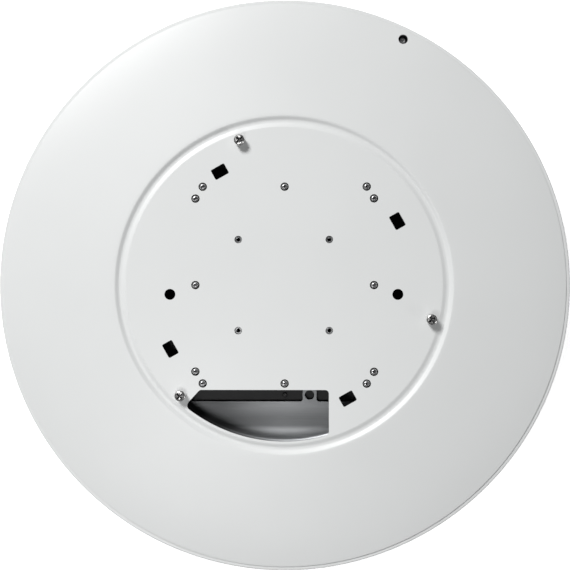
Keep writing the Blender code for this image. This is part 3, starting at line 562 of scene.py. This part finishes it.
def cover_height(radius):
    """Return the height of the cover's outer face at this radius, out to the dome's end."""
    valley = PLATE_TOP - GROOVE_DEPTH
    if radius <= GROOVE_OUTER:
        across = min(1.0, max(0.0, (GROOVE_INNER - radius) / INNER_WALL))
        return valley + GROOVE_DEPTH * 0.5 * (1.0 - math.cos(math.pi * across))
    if radius <= DOME_START:
        across = (radius - GROOVE_OUTER) / OUTER_WALL
        return valley + GROOVE_RISE * 0.5 * (1.0 - math.cos(math.pi * across))
    crown = max(0.0, (radius - CROWN_START) / (RIM_RADIUS - CROWN_START))
    return valley + GROOVE_RISE - DOME_SLOPE * (radius - DOME_START) - CROWN_DROP * crown ** 3


def cover_profile():
    """Return the cover's outer profile, from the flat plate to the rim's lower edge."""
    radii = list(np.linspace(GROOVE_INNER - INNER_WALL, GROOVE_INNER, 15))
    radii += list(np.linspace(GROOVE_OUTER, DOME_START, 15))
    radii += list(np.linspace(DOME_START, DOME_END, 37))[1:]
    profile = [(r, cover_height(r)) for r in radii]
    end = cover_height(DOME_END)
    fall = math.degrees(math.atan2(profile[-2][1] - end, DOME_END - profile[-2][0]))
    hub = (RIM_RADIUS - EDGE_ROUNDING, end - EDGE_ROUNDING)
    profile += arc(EDGE_ROUNDING, 90.0 - fall, 0.0, 8, hub)[1:]
    profile.append((RIM_RADIUS, RIM_BOTTOM))
    return profile


def offset_inward(profile, distance):
    """Return a profile moved to the inner side by the sheet's thickness."""
    points = np.array(profile)
    along = np.gradient(points, axis=0)
    along /= np.linalg.norm(along, axis=1)[:, None]
    inward = np.stack([along[:, 1], -along[:, 0]], axis=1)
    return [tuple(p) for p in points + inward * distance]


def opening_outline():
    """Return the cable opening: straight top and right sides, a chamfer and an arc."""
    start = math.degrees(math.atan2(OPENING_LEFT[1], OPENING_LEFT[0]))
    end = -math.degrees(math.acos(OPENING_RIGHT_X / OPENING_ARC))
    bottom = arc(OPENING_ARC, start, end, 40)
    at_left, at_right, top_right, top_left = OPENING_FILLETS
    corners = [(*bottom[0], at_left)]
    corners += [(x, y, 0.0) for x, y in bottom[2:-2]]
    corners += [(*bottom[-1], at_right), (OPENING_RIGHT_X, OPENING_TOP_Y, top_right)]
    corners += [(OPENING_TOP_LEFT_X, OPENING_TOP_Y, top_left)]
    return rounded(corners)


def slot_outline(angle):
    """Return one strap slot, turned to face the middle."""
    half_in, half_along = SLOT_WIDTH / 2, SLOT_LENGTH / 2
    corners = [(sx * half_in, sy * half_along, SLOT_FILLET)
               for sx, sy in ((-1, -1), (1, -1), (1, 1), (-1, 1))]
    turn = Matrix.Rotation(math.radians(angle), 2)
    at = Vector(polar(SLOT_CIRCLE, angle))
    return [tuple(turn @ Vector(p) + at) for p in rounded(corners)]


def hole_cutters():
    """Return a cutter for each hole in the cover."""
    low, high = RIM_BOTTOM - 0.002, PLATE_TOP + 0.004
    outlines = [opening_outline()]
    outlines += [slot_outline(angle) for angle in SLOT_ANGLES]
    outlines += [arc(ROUND_HOLE_RADIUS, 0.0, 360.0, 40, at)[:-1] for at in ROUND_HOLES]
    for nodes, radius in ((SCREWS, SCREW_HOLE), (INSERTS, INSERT_HOLE), (POSTS, POST_HOLE)):
        outlines += [arc(radius, 0.0, 360.0, 32, centre(n)[:2])[:-1] for n in nodes]
    outlines.append(arc(LOCK_HOLE, 0.0, 360.0, 40, centre("lock_screw")[:2])[:-1])
    return [prism(f"cutter_{i}", line, low, high) for i, line in enumerate(outlines)]


def make_cover():
    """Stamp the back cover with its groove, dome, rim and holes."""
    outer = cover_profile()
    inner = offset_inward(outer, SHEET)
    rings = outer + inner[::-1]
    cover = loft("back_cover_stamping", [(round_shape(r), z) for r, z in rings], WHITE,
                 segments=ROUND)
    combine(cover, hole_cutters(), "DIFFERENCE")
    flatten_shading(cover, (PLATE_TOP, PLATE_TOP - SHEET))
    soften(cover, SHEET_EDGE, 2, 50.0)
    return settle(cover, "housing", "powder_coat", "back_cover")


def flatten_shading(piece, heights):
    """Mark a piece's level faces as flat, so that smooth shading doesn't bend them."""
    mesh = piece.data
    mesh.shade_smooth()
    mesh.set_sharp_from_angle(angle=math.radians(SHARP_ANGLE))
    for face in mesh.polygons:
        level = abs(face.normal.z) > 0.9999
        if level and any(abs(face.center.z - z) < 1e-5 for z in heights):
            face.use_smooth = False


# ---------------------------------------------------------------- grille

def grille_profile():
    """Return the pan's outer profile, from the lip round to the flat face's edge."""
    top = LIP_TOP + LIP_RISE
    hub = (GRILLE_RADIUS - SHOULDER_RADIUS, top - SHOULDER_RADIUS)
    profile = [(LIP_INNER, top - LIP_EDGE), (LIP_INNER + LIP_EDGE, top)]
    profile += arc(SHOULDER_RADIUS, 90.0, 0.0, 14, hub)
    corner = (GRILLE_RADIUS - FRONT_ROUNDING, FRONT_ROUNDING)
    profile += arc(FRONT_ROUNDING, 0.0, -90.0, 16, corner)
    return profile


def make_pan():
    """Roll the grille's solid rim: lip, wall and rounded front edge."""
    outer = grille_profile()
    inner = offset_inward(outer, GRILLE_SHEET)
    rings = [(round_shape(r), z) for r, z in outer + inner[::-1]]
    pan = loft("grille_rim", rings, GRILLE_WHITE, segments=ROUND, closed=True)
    return settle(pan, "front_grille", "grille_coat", "grille")


def pattern_centres():
    """Return the middles of the holes in the face: a staggered pattern clear of the light bar."""
    low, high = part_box("light_pipe")
    row_step = HOLE_PITCH * math.sqrt(3) / 2
    rows = int(PATTERN_RADIUS / row_step) + 1
    places = []
    for row in range(-rows, rows + 1):
        y = row * row_step
        shift = HOLE_PITCH / 2 if row % 2 else 0.0
        for column in range(-rows, rows + 1):
            x = column * HOLE_PITCH + shift
            beside = low.x - LIGHT_BORDER < x < high.x + LIGHT_BORDER
            near_light = beside and low.y - LIGHT_BORDER < y < high.y + LIGHT_BORDER
            if math.hypot(x, y) < PATTERN_RADIUS - HOLE_PITCH / 2 and not near_light:
                places.append((row, column, x, y))
    return places


def cell_points(x, y):
    """Return a hexagonal cell's 12 outer points and its hole's 12 points."""
    outer, hole = [], []
    apothem = HOLE_PITCH / 2
    for i in range(12):
        angle = math.radians(30.0 * i)
        reach = apothem if i % 2 == 0 else apothem / math.cos(math.radians(30.0))
        outer.append((x + reach * math.cos(angle), y + reach * math.sin(angle)))
        hole.append((x + HOLE_RADIUS * math.cos(angle), y + HOLE_RADIUS * math.sin(angle)))
    return outer, hole


def sector_mesh(name, places):
    """Make one sector of the perforated face, with the walls of its holes."""
    points, faces, known = [], [], {}

    def index(x, y, z):
        key = (round(x * 1e6), round(y * 1e6), z)
        if key not in known:
            known[key] = len(points)
            points.append((x, y, z))
        return known[key]

    for _, _, x, y in places:
        outer, hole = cell_points(x, y)
        for i in range(12):
            j = (i + 1) % 12
            top = [index(*outer[i], 0.0), index(*hole[i], 0.0), index(*hole[j], 0.0),
                   index(*outer[j], 0.0)]
            wall = [top[1], index(*hole[i], GRILLE_SHEET), index(*hole[j], GRILLE_SHEET), top[2]]
            faces += [tuple(top), tuple(wall)]
    mesh = bpy.data.meshes.new(name)
    mesh.from_pydata(points, [], faces)
    return mesh


def boundary_loops(places):
    """Return the closed loops round the outside of all the cells."""
    edges = {}
    for _, _, x, y in places:
        outer, _ = cell_points(x, y)
        keys = [(round(a * 1e6), round(b * 1e6)) for a, b in outer]
        for i in range(12):
            a, b = keys[i], keys[(i + 1) % 12]
            if edges.pop((b, a), None) is None:
                edges[a, b] = (outer[i], outer[(i + 1) % 12])
    after = {a: (b, points[0]) for (a, b), points in edges.items()}
    loops = []
    while after:
        start = next(iter(after))
        here, loop = start, []
        while here in after:
            following, point = after.pop(here)
            loop.append(point)
            here = following
        loops.append(loop)
    return loops


def filled_sheet(name, loops, z, material):
    """Fill flat outlines at one height; loops inside the first are holes."""
    curve = bpy.data.curves.new(name, "CURVE")
    curve.dimensions = "2D"
    curve.fill_mode = "BOTH"
    for loop in loops:
        spline = curve.splines.new("POLY")
        spline.points.add(len(loop) - 1)
        for point, (x, y) in zip(spline.points, loop):
            point.co = (x, y, 0.0, 1.0)
        spline.use_cyclic_u = True
    outline = bpy.data.objects.new(name + "_outline", curve)
    bpy.context.scene.collection.objects.link(outline)
    mesh = bpy.data.meshes.new_from_object(
        outline.evaluated_get(bpy.context.evaluated_depsgraph_get()))
    bpy.data.objects.remove(outline, do_unlink=True)
    mesh.transform(Matrix.Translation((0.0, 0.0, z)))
    return new_piece(name, mesh, material)


def make_face():
    """Make the perforated face: sectors of holes and the plain border round them."""
    places = pattern_centres()
    for sector in range(FACE_SECTORS):
        mine = [p for p in places
                if int((math.degrees(math.atan2(p[3], p[2])) % 360.0) * FACE_SECTORS / 360.0) == sector]
        name = f"grille_face_{sector + 1}"
        piece = new_piece(name, sector_mesh(name, mine), GRILLE_WHITE)
        settle(piece, "front_grille", "grille_coat")
    low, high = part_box("light_pipe")
    left, right, bottom, top = low.x - LIGHT_GAP, high.x + LIGHT_GAP, low.y - LIGHT_GAP, high.y + LIGHT_GAP
    places_round = ((left, bottom), (right, bottom), (right, top), (left, top))
    window = [(x, y, WINDOW_FILLET) for x, y in places_round]
    loops = [arc(FACE_RADIUS, 0.0, 360.0, ROUND)[:-1]] + boundary_loops(places) + [rounded(window)]
    border = filled_sheet("grille_border", loops, 0.0, GRILLE_WHITE)
    settle(border, "front_grille", "grille_coat")


def make_foam():
    """Cut the foam disc behind the face, with its worn edge and the notch for the light bar."""
    low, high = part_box("acoustic_foam")
    radius, edge = high.x, FOAM_EDGE
    rings = [(radius * share, high.z) for share in (0.02, 0.2, 0.4, 0.6, 0.8, 0.95)]
    rings += [(radius - edge + x, high.z - edge + z) for x, z in arc(edge, 90.0, 0.0, 4)]
    rings += [(radius - edge + x, low.z + edge + z) for x, z in arc(edge, 0.0, -90.0, 4)]
    rings += [(radius * share, low.z) for share in (0.95, 0.8, 0.6, 0.4, 0.2, 0.02)]
    foam = loft("foam_disc", [(round_shape(r), z) for r, z in rings], FOAM, segments=ROUND)
    rng = np.random.default_rng(7)
    for vertex in foam.data.vertices:
        vertex.co.z += rng.uniform(-FOAM_UNEVEN, FOAM_UNEVEN)
    strip_low, strip_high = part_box("status_led_board")
    notch = block("notch", (strip_low.x - LIGHT_GAP, strip_low.y - LIGHT_GAP, low.z - BEYOND),
                  (strip_high.x + LIGHT_GAP, strip_high.y + LIGHT_GAP, high.z + BEYOND))
    combine(foam, [notch], "DIFFERENCE")
    new_normals(foam)
    settle(foam, "front_grille", "foam", "acoustic_foam")


def new_normals(piece):
    """Shade a cut piece smooth but for its sharp edges."""
    piece.data.shade_smooth()
    piece.data.set_sharp_from_angle(angle=math.radians(SHARP_ANGLE))


# ---------------------------------------------------------------- fixings

def add_material(piece, material, test):
    """Give a second material to the faces whose middles pass a test."""
    piece.data.materials.append(material)
    index = len(piece.data.materials) - 1
    for face in piece.data.polygons:
        if test(face.center):
            face.material_index = index


def make_cover_screws():
    """Turn each cover screw: a black washer under a bright button head with a hexagonal recess."""
    shank, head, crown = 0.0019, 0.0029, 0.0016
    head_height, washer_height, dome_foot, dome_height = 0.0020, 0.0007, 0.0008, 0.0012
    recess_across, recess_floor = 0.0028, 0.0004
    for number, node in enumerate(SCREWS, 1):
        low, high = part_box(node)
        at = centre(node)
        seat = high.z - head_height
        washer, washer_top = (high.x - low.x) / 2, seat + washer_height
        rings = [(shank - CHAMFER, low.z), (shank, low.z + 0.0003), (shank, seat)]
        rings += [(washer - CHAMFER, seat), (washer, seat + CHAMFER)]
        rings += [(washer, washer_top - CHAMFER), (washer - CHAMFER, washer_top)]
        rings += [(head + 0.0003, washer_top), (head, washer_top - 0.0001)]
        for turn in (0.0, 20.0, 40.0, 60.0, 78.0):
            share = math.radians(turn)
            dome = seat + dome_foot + dome_height * math.sin(share)
            rings.append((crown + (head - crown) * math.cos(share), dome))
        rings += [(crown, high.z), (hexagon_shape(recess_across + 0.0001), high.z - 0.0001)]
        rings += [(hexagon_shape(recess_across), seat + recess_floor), (0.0004, seat + 0.0001)]
        turned = math.radians(37.0 * number)
        screw = loft(f"flanged_screw_{number}", rings, SCREW_HEAD, at, turned)
        # black on the shank and washer, and as painted shade on the steep foot of the button head
        button, low_edge = head - CHAMFER, washer_top - 0.0001
        add_material(screw, BLACK_OXIDE,
                     lambda p: math.hypot(p.x - at.x, p.y - at.y) > button or p.z < low_edge)
        # the hexagonal recess: painted shade
        add_material(screw, RECESS_PAINTED_SHADE,
                     lambda p: math.hypot(p.x - at.x, p.y - at.y) < crown - 0.0001 and p.z < high.z)
        settle(screw, "housing", "dark_zinc", node)


def make_inserts():
    """Turn each threaded insert, with its internal thread as ridges."""
    pitch, depth = 0.0007, 0.00028
    outer, bore, flange_foot, flange_height = 0.0038, 0.0021, 0.0040, 0.0014
    for number, node in enumerate(INSERTS, 1):
        low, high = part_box(node)
        flange = (high.x - low.x) / 2
        flange_low = low.z + flange_foot
        flange_high = flange_low + flange_height
        turns = int((high.z - low.z - 0.0006) / pitch)
        rings = [(bore + 0.0004, high.z), (outer - CHAMFER, high.z), (outer, high.z - CHAMFER)]
        rings += [(outer, flange_high), (flange, flange_high), (flange, flange_low)]
        rings += [(outer, flange_low), (outer, low.z), (bore + 0.0003, low.z)]
        for turn in range(turns):
            z = low.z + 0.0003 + turn * pitch
            rings += [(bore - depth * 0.6, z + pitch * 0.25), (bore + depth * 0.4, z + pitch * 0.75)]
        insert = loft(f"threaded_insert_{number}", rings, INSERT_METAL, centre(node), closed=True)
        settle(insert, "housing", "zinc_steel", node)


def make_posts():
    """Turn each hanger post: a tall head with a deep cross and slot over a narrow neck."""
    head, neck, body, crown = 0.00575, 0.0032, 0.0050, 0.0044
    head_height, rounding, recess_depth = 0.0070, 0.0003, 0.0026
    turns = (48.0, 123.0, 44.0)
    for number, node in enumerate(POSTS, 1):
        low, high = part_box(node)
        at = centre(node)
        top, under = high.z, high.z - head_height
        shoulder = PLATE_TOP - SHEET - rounding
        rings = [(body - 0.0004, low.z), (body, low.z + 0.0004), (body, shoulder - rounding)]
        rings += [(body - rounding, shoulder), (neck, shoulder), (neck, under - 0.0006)]
        rings += [(head - rounding, under - 0.0001), (head, under + CHAMFER), (head, top - 0.0012)]
        rings += [(head - rounding, top - 0.0009), (head - 0.0010, top - 0.0005), (crown, top - 0.0003)]
        recess = cross_shape(0.0041, 0.00115, 0.0043)
        rings += [(recess, top), (recess, top - recess_depth), (0.0006, top - recess_depth - 0.0006)]
        turn = math.radians(turns[number - 1])
        post = loft(f"hanger_stud_{number}", rings, NICKEL, at, turn, segments=96)
        inside, floor = crown - 0.0001, top - recess_depth - 0.0014
        # the cross and slot: painted shade
        add_material(post, RECESS_PAINTED_SHADE,
                     lambda p: math.hypot(p.x - at.x, p.y - at.y) < inside and floor < p.z < top - 0.0002)
        settle(post, "housing", "nickel", node)


def make_lock():
    """Turn the grille's lock screw and the sleeve that guides a driver to it."""
    thread, root, thread_pitch = 0.0019, 0.00155, 0.0005
    head_height, drive_across, drive_depth = 0.0050, 0.0032, 0.0022
    low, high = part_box("lock_screw")
    at = centre("lock_screw")
    head = (high.x - low.x) / 2
    seat = high.z - head_height
    rings = [(0.0014, low.z), (thread, low.z + 0.0006)]
    z = low.z + 0.0009
    while z < seat - 0.0016:
        rings += [(thread, z), (root, z + thread_pitch / 2)]
        z += thread_pitch
    rings += [(thread, seat - thread_pitch), (thread, seat), (head - CHAMFER, seat), (head, seat + CHAMFER)]
    rings += [(head, high.z - 0.0010), (head - 0.0003, high.z - 0.0004), (head - 0.0010, high.z)]
    rings += [(0.0022, high.z), (hexagon_shape(drive_across), high.z - 0.0001)]
    rings += [(hexagon_shape(drive_across), high.z - drive_depth), (0.0004, high.z - drive_depth - 0.0003)]
    screw = loft("captive_lock_screw", rings, SCREW_HEAD, at)
    settle(screw, "lock_screw", "dark_zinc", "lock_screw")
    low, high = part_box("lock_sleeve")
    outer = (high.x - low.x) / 2
    inner = outer - 0.0010
    rings = [(inner, low.z + CHAMFER), (inner, high.z - 0.0003), (inner + 0.0003, high.z)]
    rings += [(outer - CHAMFER, high.z), (outer, high.z - CHAMFER), (outer, low.z)]
    rings.append((inner + CHAMFER, low.z))
    sleeve = loft("lock_guide_sleeve", rings, BLACK_PLASTIC, at, closed=True)
    settle(sleeve, "housing", "black_plastic", "lock_sleeve")


# ---------------------------------------------------------------- cable bay

def make_tray():
    """Press the bay's tray: floor with a holed tab, a curve up to the wall, a flange below."""
    low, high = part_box("cable_tray")
    reach = -low.y
    start = -math.degrees(math.asin(-BAY_EDGE_Y / reach))
    first, last = -180.0 - start, start
    steps = 120
    outer = [(reach, high.z), (reach, TRAY_FLOOR + TRAY_FILLET)]
    hub = (reach - TRAY_FILLET, TRAY_FLOOR - SHEET + TRAY_FILLET)
    outer += arc(TRAY_FILLET, 0.0, -90.0, 14, hub)
    inner_fillet = TRAY_FILLET - SHEET
    inner = [(reach - SHEET, high.z), (reach - SHEET, TRAY_FLOOR + TRAY_FILLET)]
    inner += arc(inner_fillet, 0.0, -90.0, 14, (hub[0], hub[1]))
    rings = outer + inner[::-1]
    points, faces = [], []
    count = len(rings)
    for i in range(steps + 1):
        for r, z in rings:
            x, y = polar(r, first + (last - first) * i / steps)
            points.append((x, min(y, BAY_EDGE_Y), z))
    for i in range(steps):
        for k in range(count):
            j = (k + 1) % count
            faces.append((i * count + k, i * count + j, (i + 1) * count + j, (i + 1) * count + k))
    faces += [tuple(range(count)), tuple(range(steps * count, (steps + 1) * count))]
    wall = new_piece("bay_tray_wall", mesh_from("bay_tray_wall", points, faces), TRAY_METAL_PAINTED_SHADE)
    settle(wall, "housing", "brushed_aluminium")
    floor_radius = hub[0] + FLOOR_LAP
    chord = math.degrees(math.asin(-BAY_EDGE_Y / floor_radius))
    floor_arc = arc(floor_radius, -180.0 + chord, -chord, steps)
    corners = [(x, y, 0.0) for x, y in floor_arc]
    right, left = TAB_X + TAB_HALF_WIDTH, TAB_X - TAB_HALF_WIDTH
    corners += [(right, BAY_EDGE_Y, TAB_ROOT_FILLET), (right, TAB_END_Y, TAB_END_FILLET)]
    corners += [(left, TAB_END_Y, TAB_END_FILLET), (left, BAY_EDGE_Y, TAB_ROOT_FILLET)]
    tray = prism("bay_tray", rounded(corners), TRAY_FLOOR - SHEET, TRAY_FLOOR, TRAY_METAL_PAINTED_SHADE)
    flange = block("tray_flange", (TRAY_FLANGE_LEFT, BAY_EDGE_Y - SHEET, low.z),
                   (TRAY_FLANGE_RIGHT, BAY_EDGE_Y - 0.0001, TRAY_FLOOR - SHEET / 2))
    combine(tray, [flange], "UNION")
    hole = arc(TAB_HOLE_RADIUS, 0.0, 360.0, 48, (TAB_X, TAB_HOLE_Y))[:-1]
    combine(tray, [prism("tab_hole", hole, low.z, high.z)], "DIFFERENCE")
    new_normals(tray)
    soften(tray, 0.00025, 2, 50.0)
    settle(tray, "housing", "brushed_aluminium", "cable_tray")


def make_baffle_screw():
    """Turn the small black screw that holds the moulding down."""
    low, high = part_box("baffle_screw")
    radius = (high.x - low.x) / 2
    rings = [(radius - 0.0001, low.z), (radius, low.z + 0.0002), (radius - 0.0001, low.z + 0.0007)]
    rings += [(radius - 0.0005, high.z - 0.0003), (radius - 0.0012, high.z)]
    recess = cross_shape(0.0013, 0.00035, 0.0014)
    rings += [(recess, high.z - 0.00002), (recess, high.z - 0.0008), (0.0002, high.z - 0.0010)]
    screw = loft("moulding_screw", rings, BLACK_OXIDE, centre("baffle_screw"), math.radians(20.0))
    settle(screw, "housing", "dark_zinc", "baffle_screw")


def make_contacts():
    """Lay the eight spring contacts in the network socket."""
    half_width, thickness, sag, run = 0.00018, 0.0003, 0.0034, 0.0118
    low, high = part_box("ethernet_jack_insert")
    middle = (low.x + high.x) / 2
    front, top = low.y + 0.0010, high.z - 0.0024
    back = front + run
    path = [(front, top), (back, top - sag), (back, top - sag - thickness), (front, top - thickness)]
    faces = [(0, 1, 2, 3), (4, 5, 6, 7)]
    faces += [(k, (k + 1) % 4, (k + 1) % 4 + 4, k + 4) for k in range(4)]
    wires = []
    for index in range(PLUG_CONTACTS):
        x = middle + (index - (PLUG_CONTACTS - 1) / 2) * PLUG_PITCH
        points = [(x + side * half_width, y, z) for side in (-1, 1) for y, z in path]
        wires.append(new_piece(f"wire_{index}", mesh_from(f"wire_{index}", points, faces), None))
    contacts = joined("socket_contacts", wires, GOLD)
    settle(contacts, "housing", "nickel")


def make_capacitors():
    """Turn the two capacitors: a sleeved can with a crimp and a vented top."""
    crimp, sleeve_edge, top_edge, vent_reach = 0.0004, 0.0006, 0.0003, 0.0030
    for number in (1, 2):
        node = f"power_capacitor_{number}"
        low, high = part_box(node)
        radius, tall = (high.x - low.x) / 2, high.z - low.z
        rings = [(radius - crimp, low.z), (radius, low.z + crimp), (radius, low.z + 0.12 * tall)]
        rings += [(radius - crimp, low.z + 0.15 * tall), (radius, low.z + 0.18 * tall)]
        rings += [(radius, high.z - sleeve_edge), (radius - sleeve_edge, high.z), (radius - 0.0010, high.z)]
        rings += [(radius - 0.0012, high.z - top_edge)]
        rings += [(cross_shape(vent_reach, 0.00015, vent_reach), high.z - top_edge)]
        rings += [(cross_shape(vent_reach, 0.00010, vent_reach), high.z - 0.0005)]
        can = loft(f"sleeved_capacitor_{number}", rings, BLACK_PLASTIC, centre(node), segments=72)
        add_material(can, BRIGHT_ZINC, lambda p: p.z > high.z - 0.0004)
        settle(can, "housing", "dark_zinc", node)


# ---------------------------------------------------------------- other nodes

def soften_node(name, width, material, segments=2):
    """Give a CAD node its finish and softly rounded edges."""
    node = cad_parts[name]
    node.data.materials.clear()
    node.data.materials.append(material)
    if width:
        soften(node, width, segments)
    return node


def finish_nodes():
    """Give every CAD node that stays its own material."""
    soften_node("cable_baffle", 0.0003, BLACK_PLASTIC)
    soften_node("inner_chassis", 0.0003, BLACK_STEEL)
    soften_node("array_carrier", 0.0004, BLACK_PLASTIC)
    soften_node("twist_ring", 0.0002, BRIGHT_ZINC)
    soften_node("mounting_frame", 0.0003, BRIGHT_ZINC)
    soften_node("main_board", 0.0001, CIRCUIT)
    soften_node("hub_board", 0.0001, CIRCUIT)
    soften_node("status_led_board", 0.0001, CIRCUIT)
    for number in range(1, 9):
        soften_node(f"mic_board_{number}", 0.0001, CIRCUIT)
    for number in range(1, 4):
        soften_node(f"bayonet_pin_{number}", 0.0002, BRIGHT_ZINC)
    for number in range(1, 5):
        soften_node(f"board_standoff_{number}", 0.0002, BRIGHT_ZINC)
    soften_node("ethernet_jack_shell", 0.0001, BRIGHT_ZINC)
    soften_node("ethernet_jack_insert", 0.0001, BLACK_PLASTIC)
    soften_node("reset_button", 0.0003, BLACK_PLASTIC)
    soften_node("reset_switch", 0.0002, BLACK_PLASTIC)
    soften_node("poe_transformer", 0.0003, BLACK_PLASTIC)
    soften_node("processor_shield", 0.0003, BRIGHT_ZINC)
    soften_node("heat_spreader", 0.0002, BRUSHED)
    soften_node("ribbon_cable", 0.0001, RIBBON)
    soften_node("light_pipe", 0.0002, DIFFUSER)


# ---------------------------------------------------------------- studio

def make_floor():
    """Lay the pale floor just under the object."""
    outline = arc(FLOOR_RADIUS, 0.0, 360.0, 64)[:-1]
    floor = prism("studio_floor_paper", outline, FLOOR_TOP - FLOOR_THICKNESS, FLOOR_TOP, floor_material())


def area_light(name, azimuth, elevation, distance, size, power):
    """Add a soft round light aimed at the object."""
    lamp = bpy.data.lights.new(name, "AREA")
    lamp.shape = "DISK"
    lamp.size = size
    lamp.energy = power
    light = bpy.data.objects.new(name, lamp)
    light.visible_camera = False
    bpy.context.scene.collection.objects.link(light)
    a, e = math.radians(azimuth), math.radians(elevation)
    toward = Vector((math.cos(a) * math.cos(e), math.sin(a) * math.cos(e), math.sin(e)))
    light.location = Vector(LIGHT_AIM) + toward * distance
    light.rotation_mode = "QUATERNION"
    light.rotation_quaternion = toward.to_track_quat("Z", "Y")
    return light


def make_lights():
    """Light from the upper left, with an even pale surround."""
    area_light("key", azimuth=125.3, elevation=45.0, distance=3.86, size=1.15, power=165.0)
    area_light("fill", azimuth=243.5, elevation=63.0, distance=0.80, size=0.26, power=1.60)
    area_light("rim_fill", azimuth=-28.0, elevation=20.0, distance=2.50, size=0.80, power=5.5)
    world = bpy.data.worlds.new("studio_surround")
    bpy.context.scene.world = world
    world.use_nodes = True
    surround = world.node_tree.nodes["Background"]
    surround.inputs["Color"].default_value = (0.97, 0.985, 1.0, 1.0)
    surround.inputs["Strength"].default_value = SURROUND_STRENGTH


def make_camera():
    """Look down on the mounting plate, a little off its axis."""
    stand = Vector((*CAMERA_OFFSET, PLATE_TOP + CAMERA_HEIGHT))
    target = Vector((*CAMERA_AIM, PLATE_TOP))
    lens = bpy.data.cameras.new("photo_camera")
    lens.sensor_width = 36.0
    lens.lens = FOCAL_LENGTH
    lens.clip_start, lens.clip_end = 0.05, 20.0
    camera = bpy.data.objects.new("photo_camera", lens)
    bpy.context.scene.collection.objects.link(camera)
    back = (stand - target).normalized()
    right = Vector((0.0, 1.0, 0.0)).cross(back).normalized()
    up = back.cross(right)
    camera.matrix_world = Matrix.Translation(stand) @ Matrix(
        ((right.x, up.x, back.x), (right.y, up.y, back.y), (right.z, up.z, back.z))).to_4x4()
    bpy.context.scene.camera = camera
    bpy.context.scene.view_settings.view_transform = "Standard"


make_camera()
make_floor()
make_lights()
make_cover()
make_pan()
make_face()
make_foam()
make_cover_screws()
make_inserts()
make_posts()
make_lock()
make_tray()
make_baffle_screw()
make_contacts()
make_capacitors()
finish_nodes()
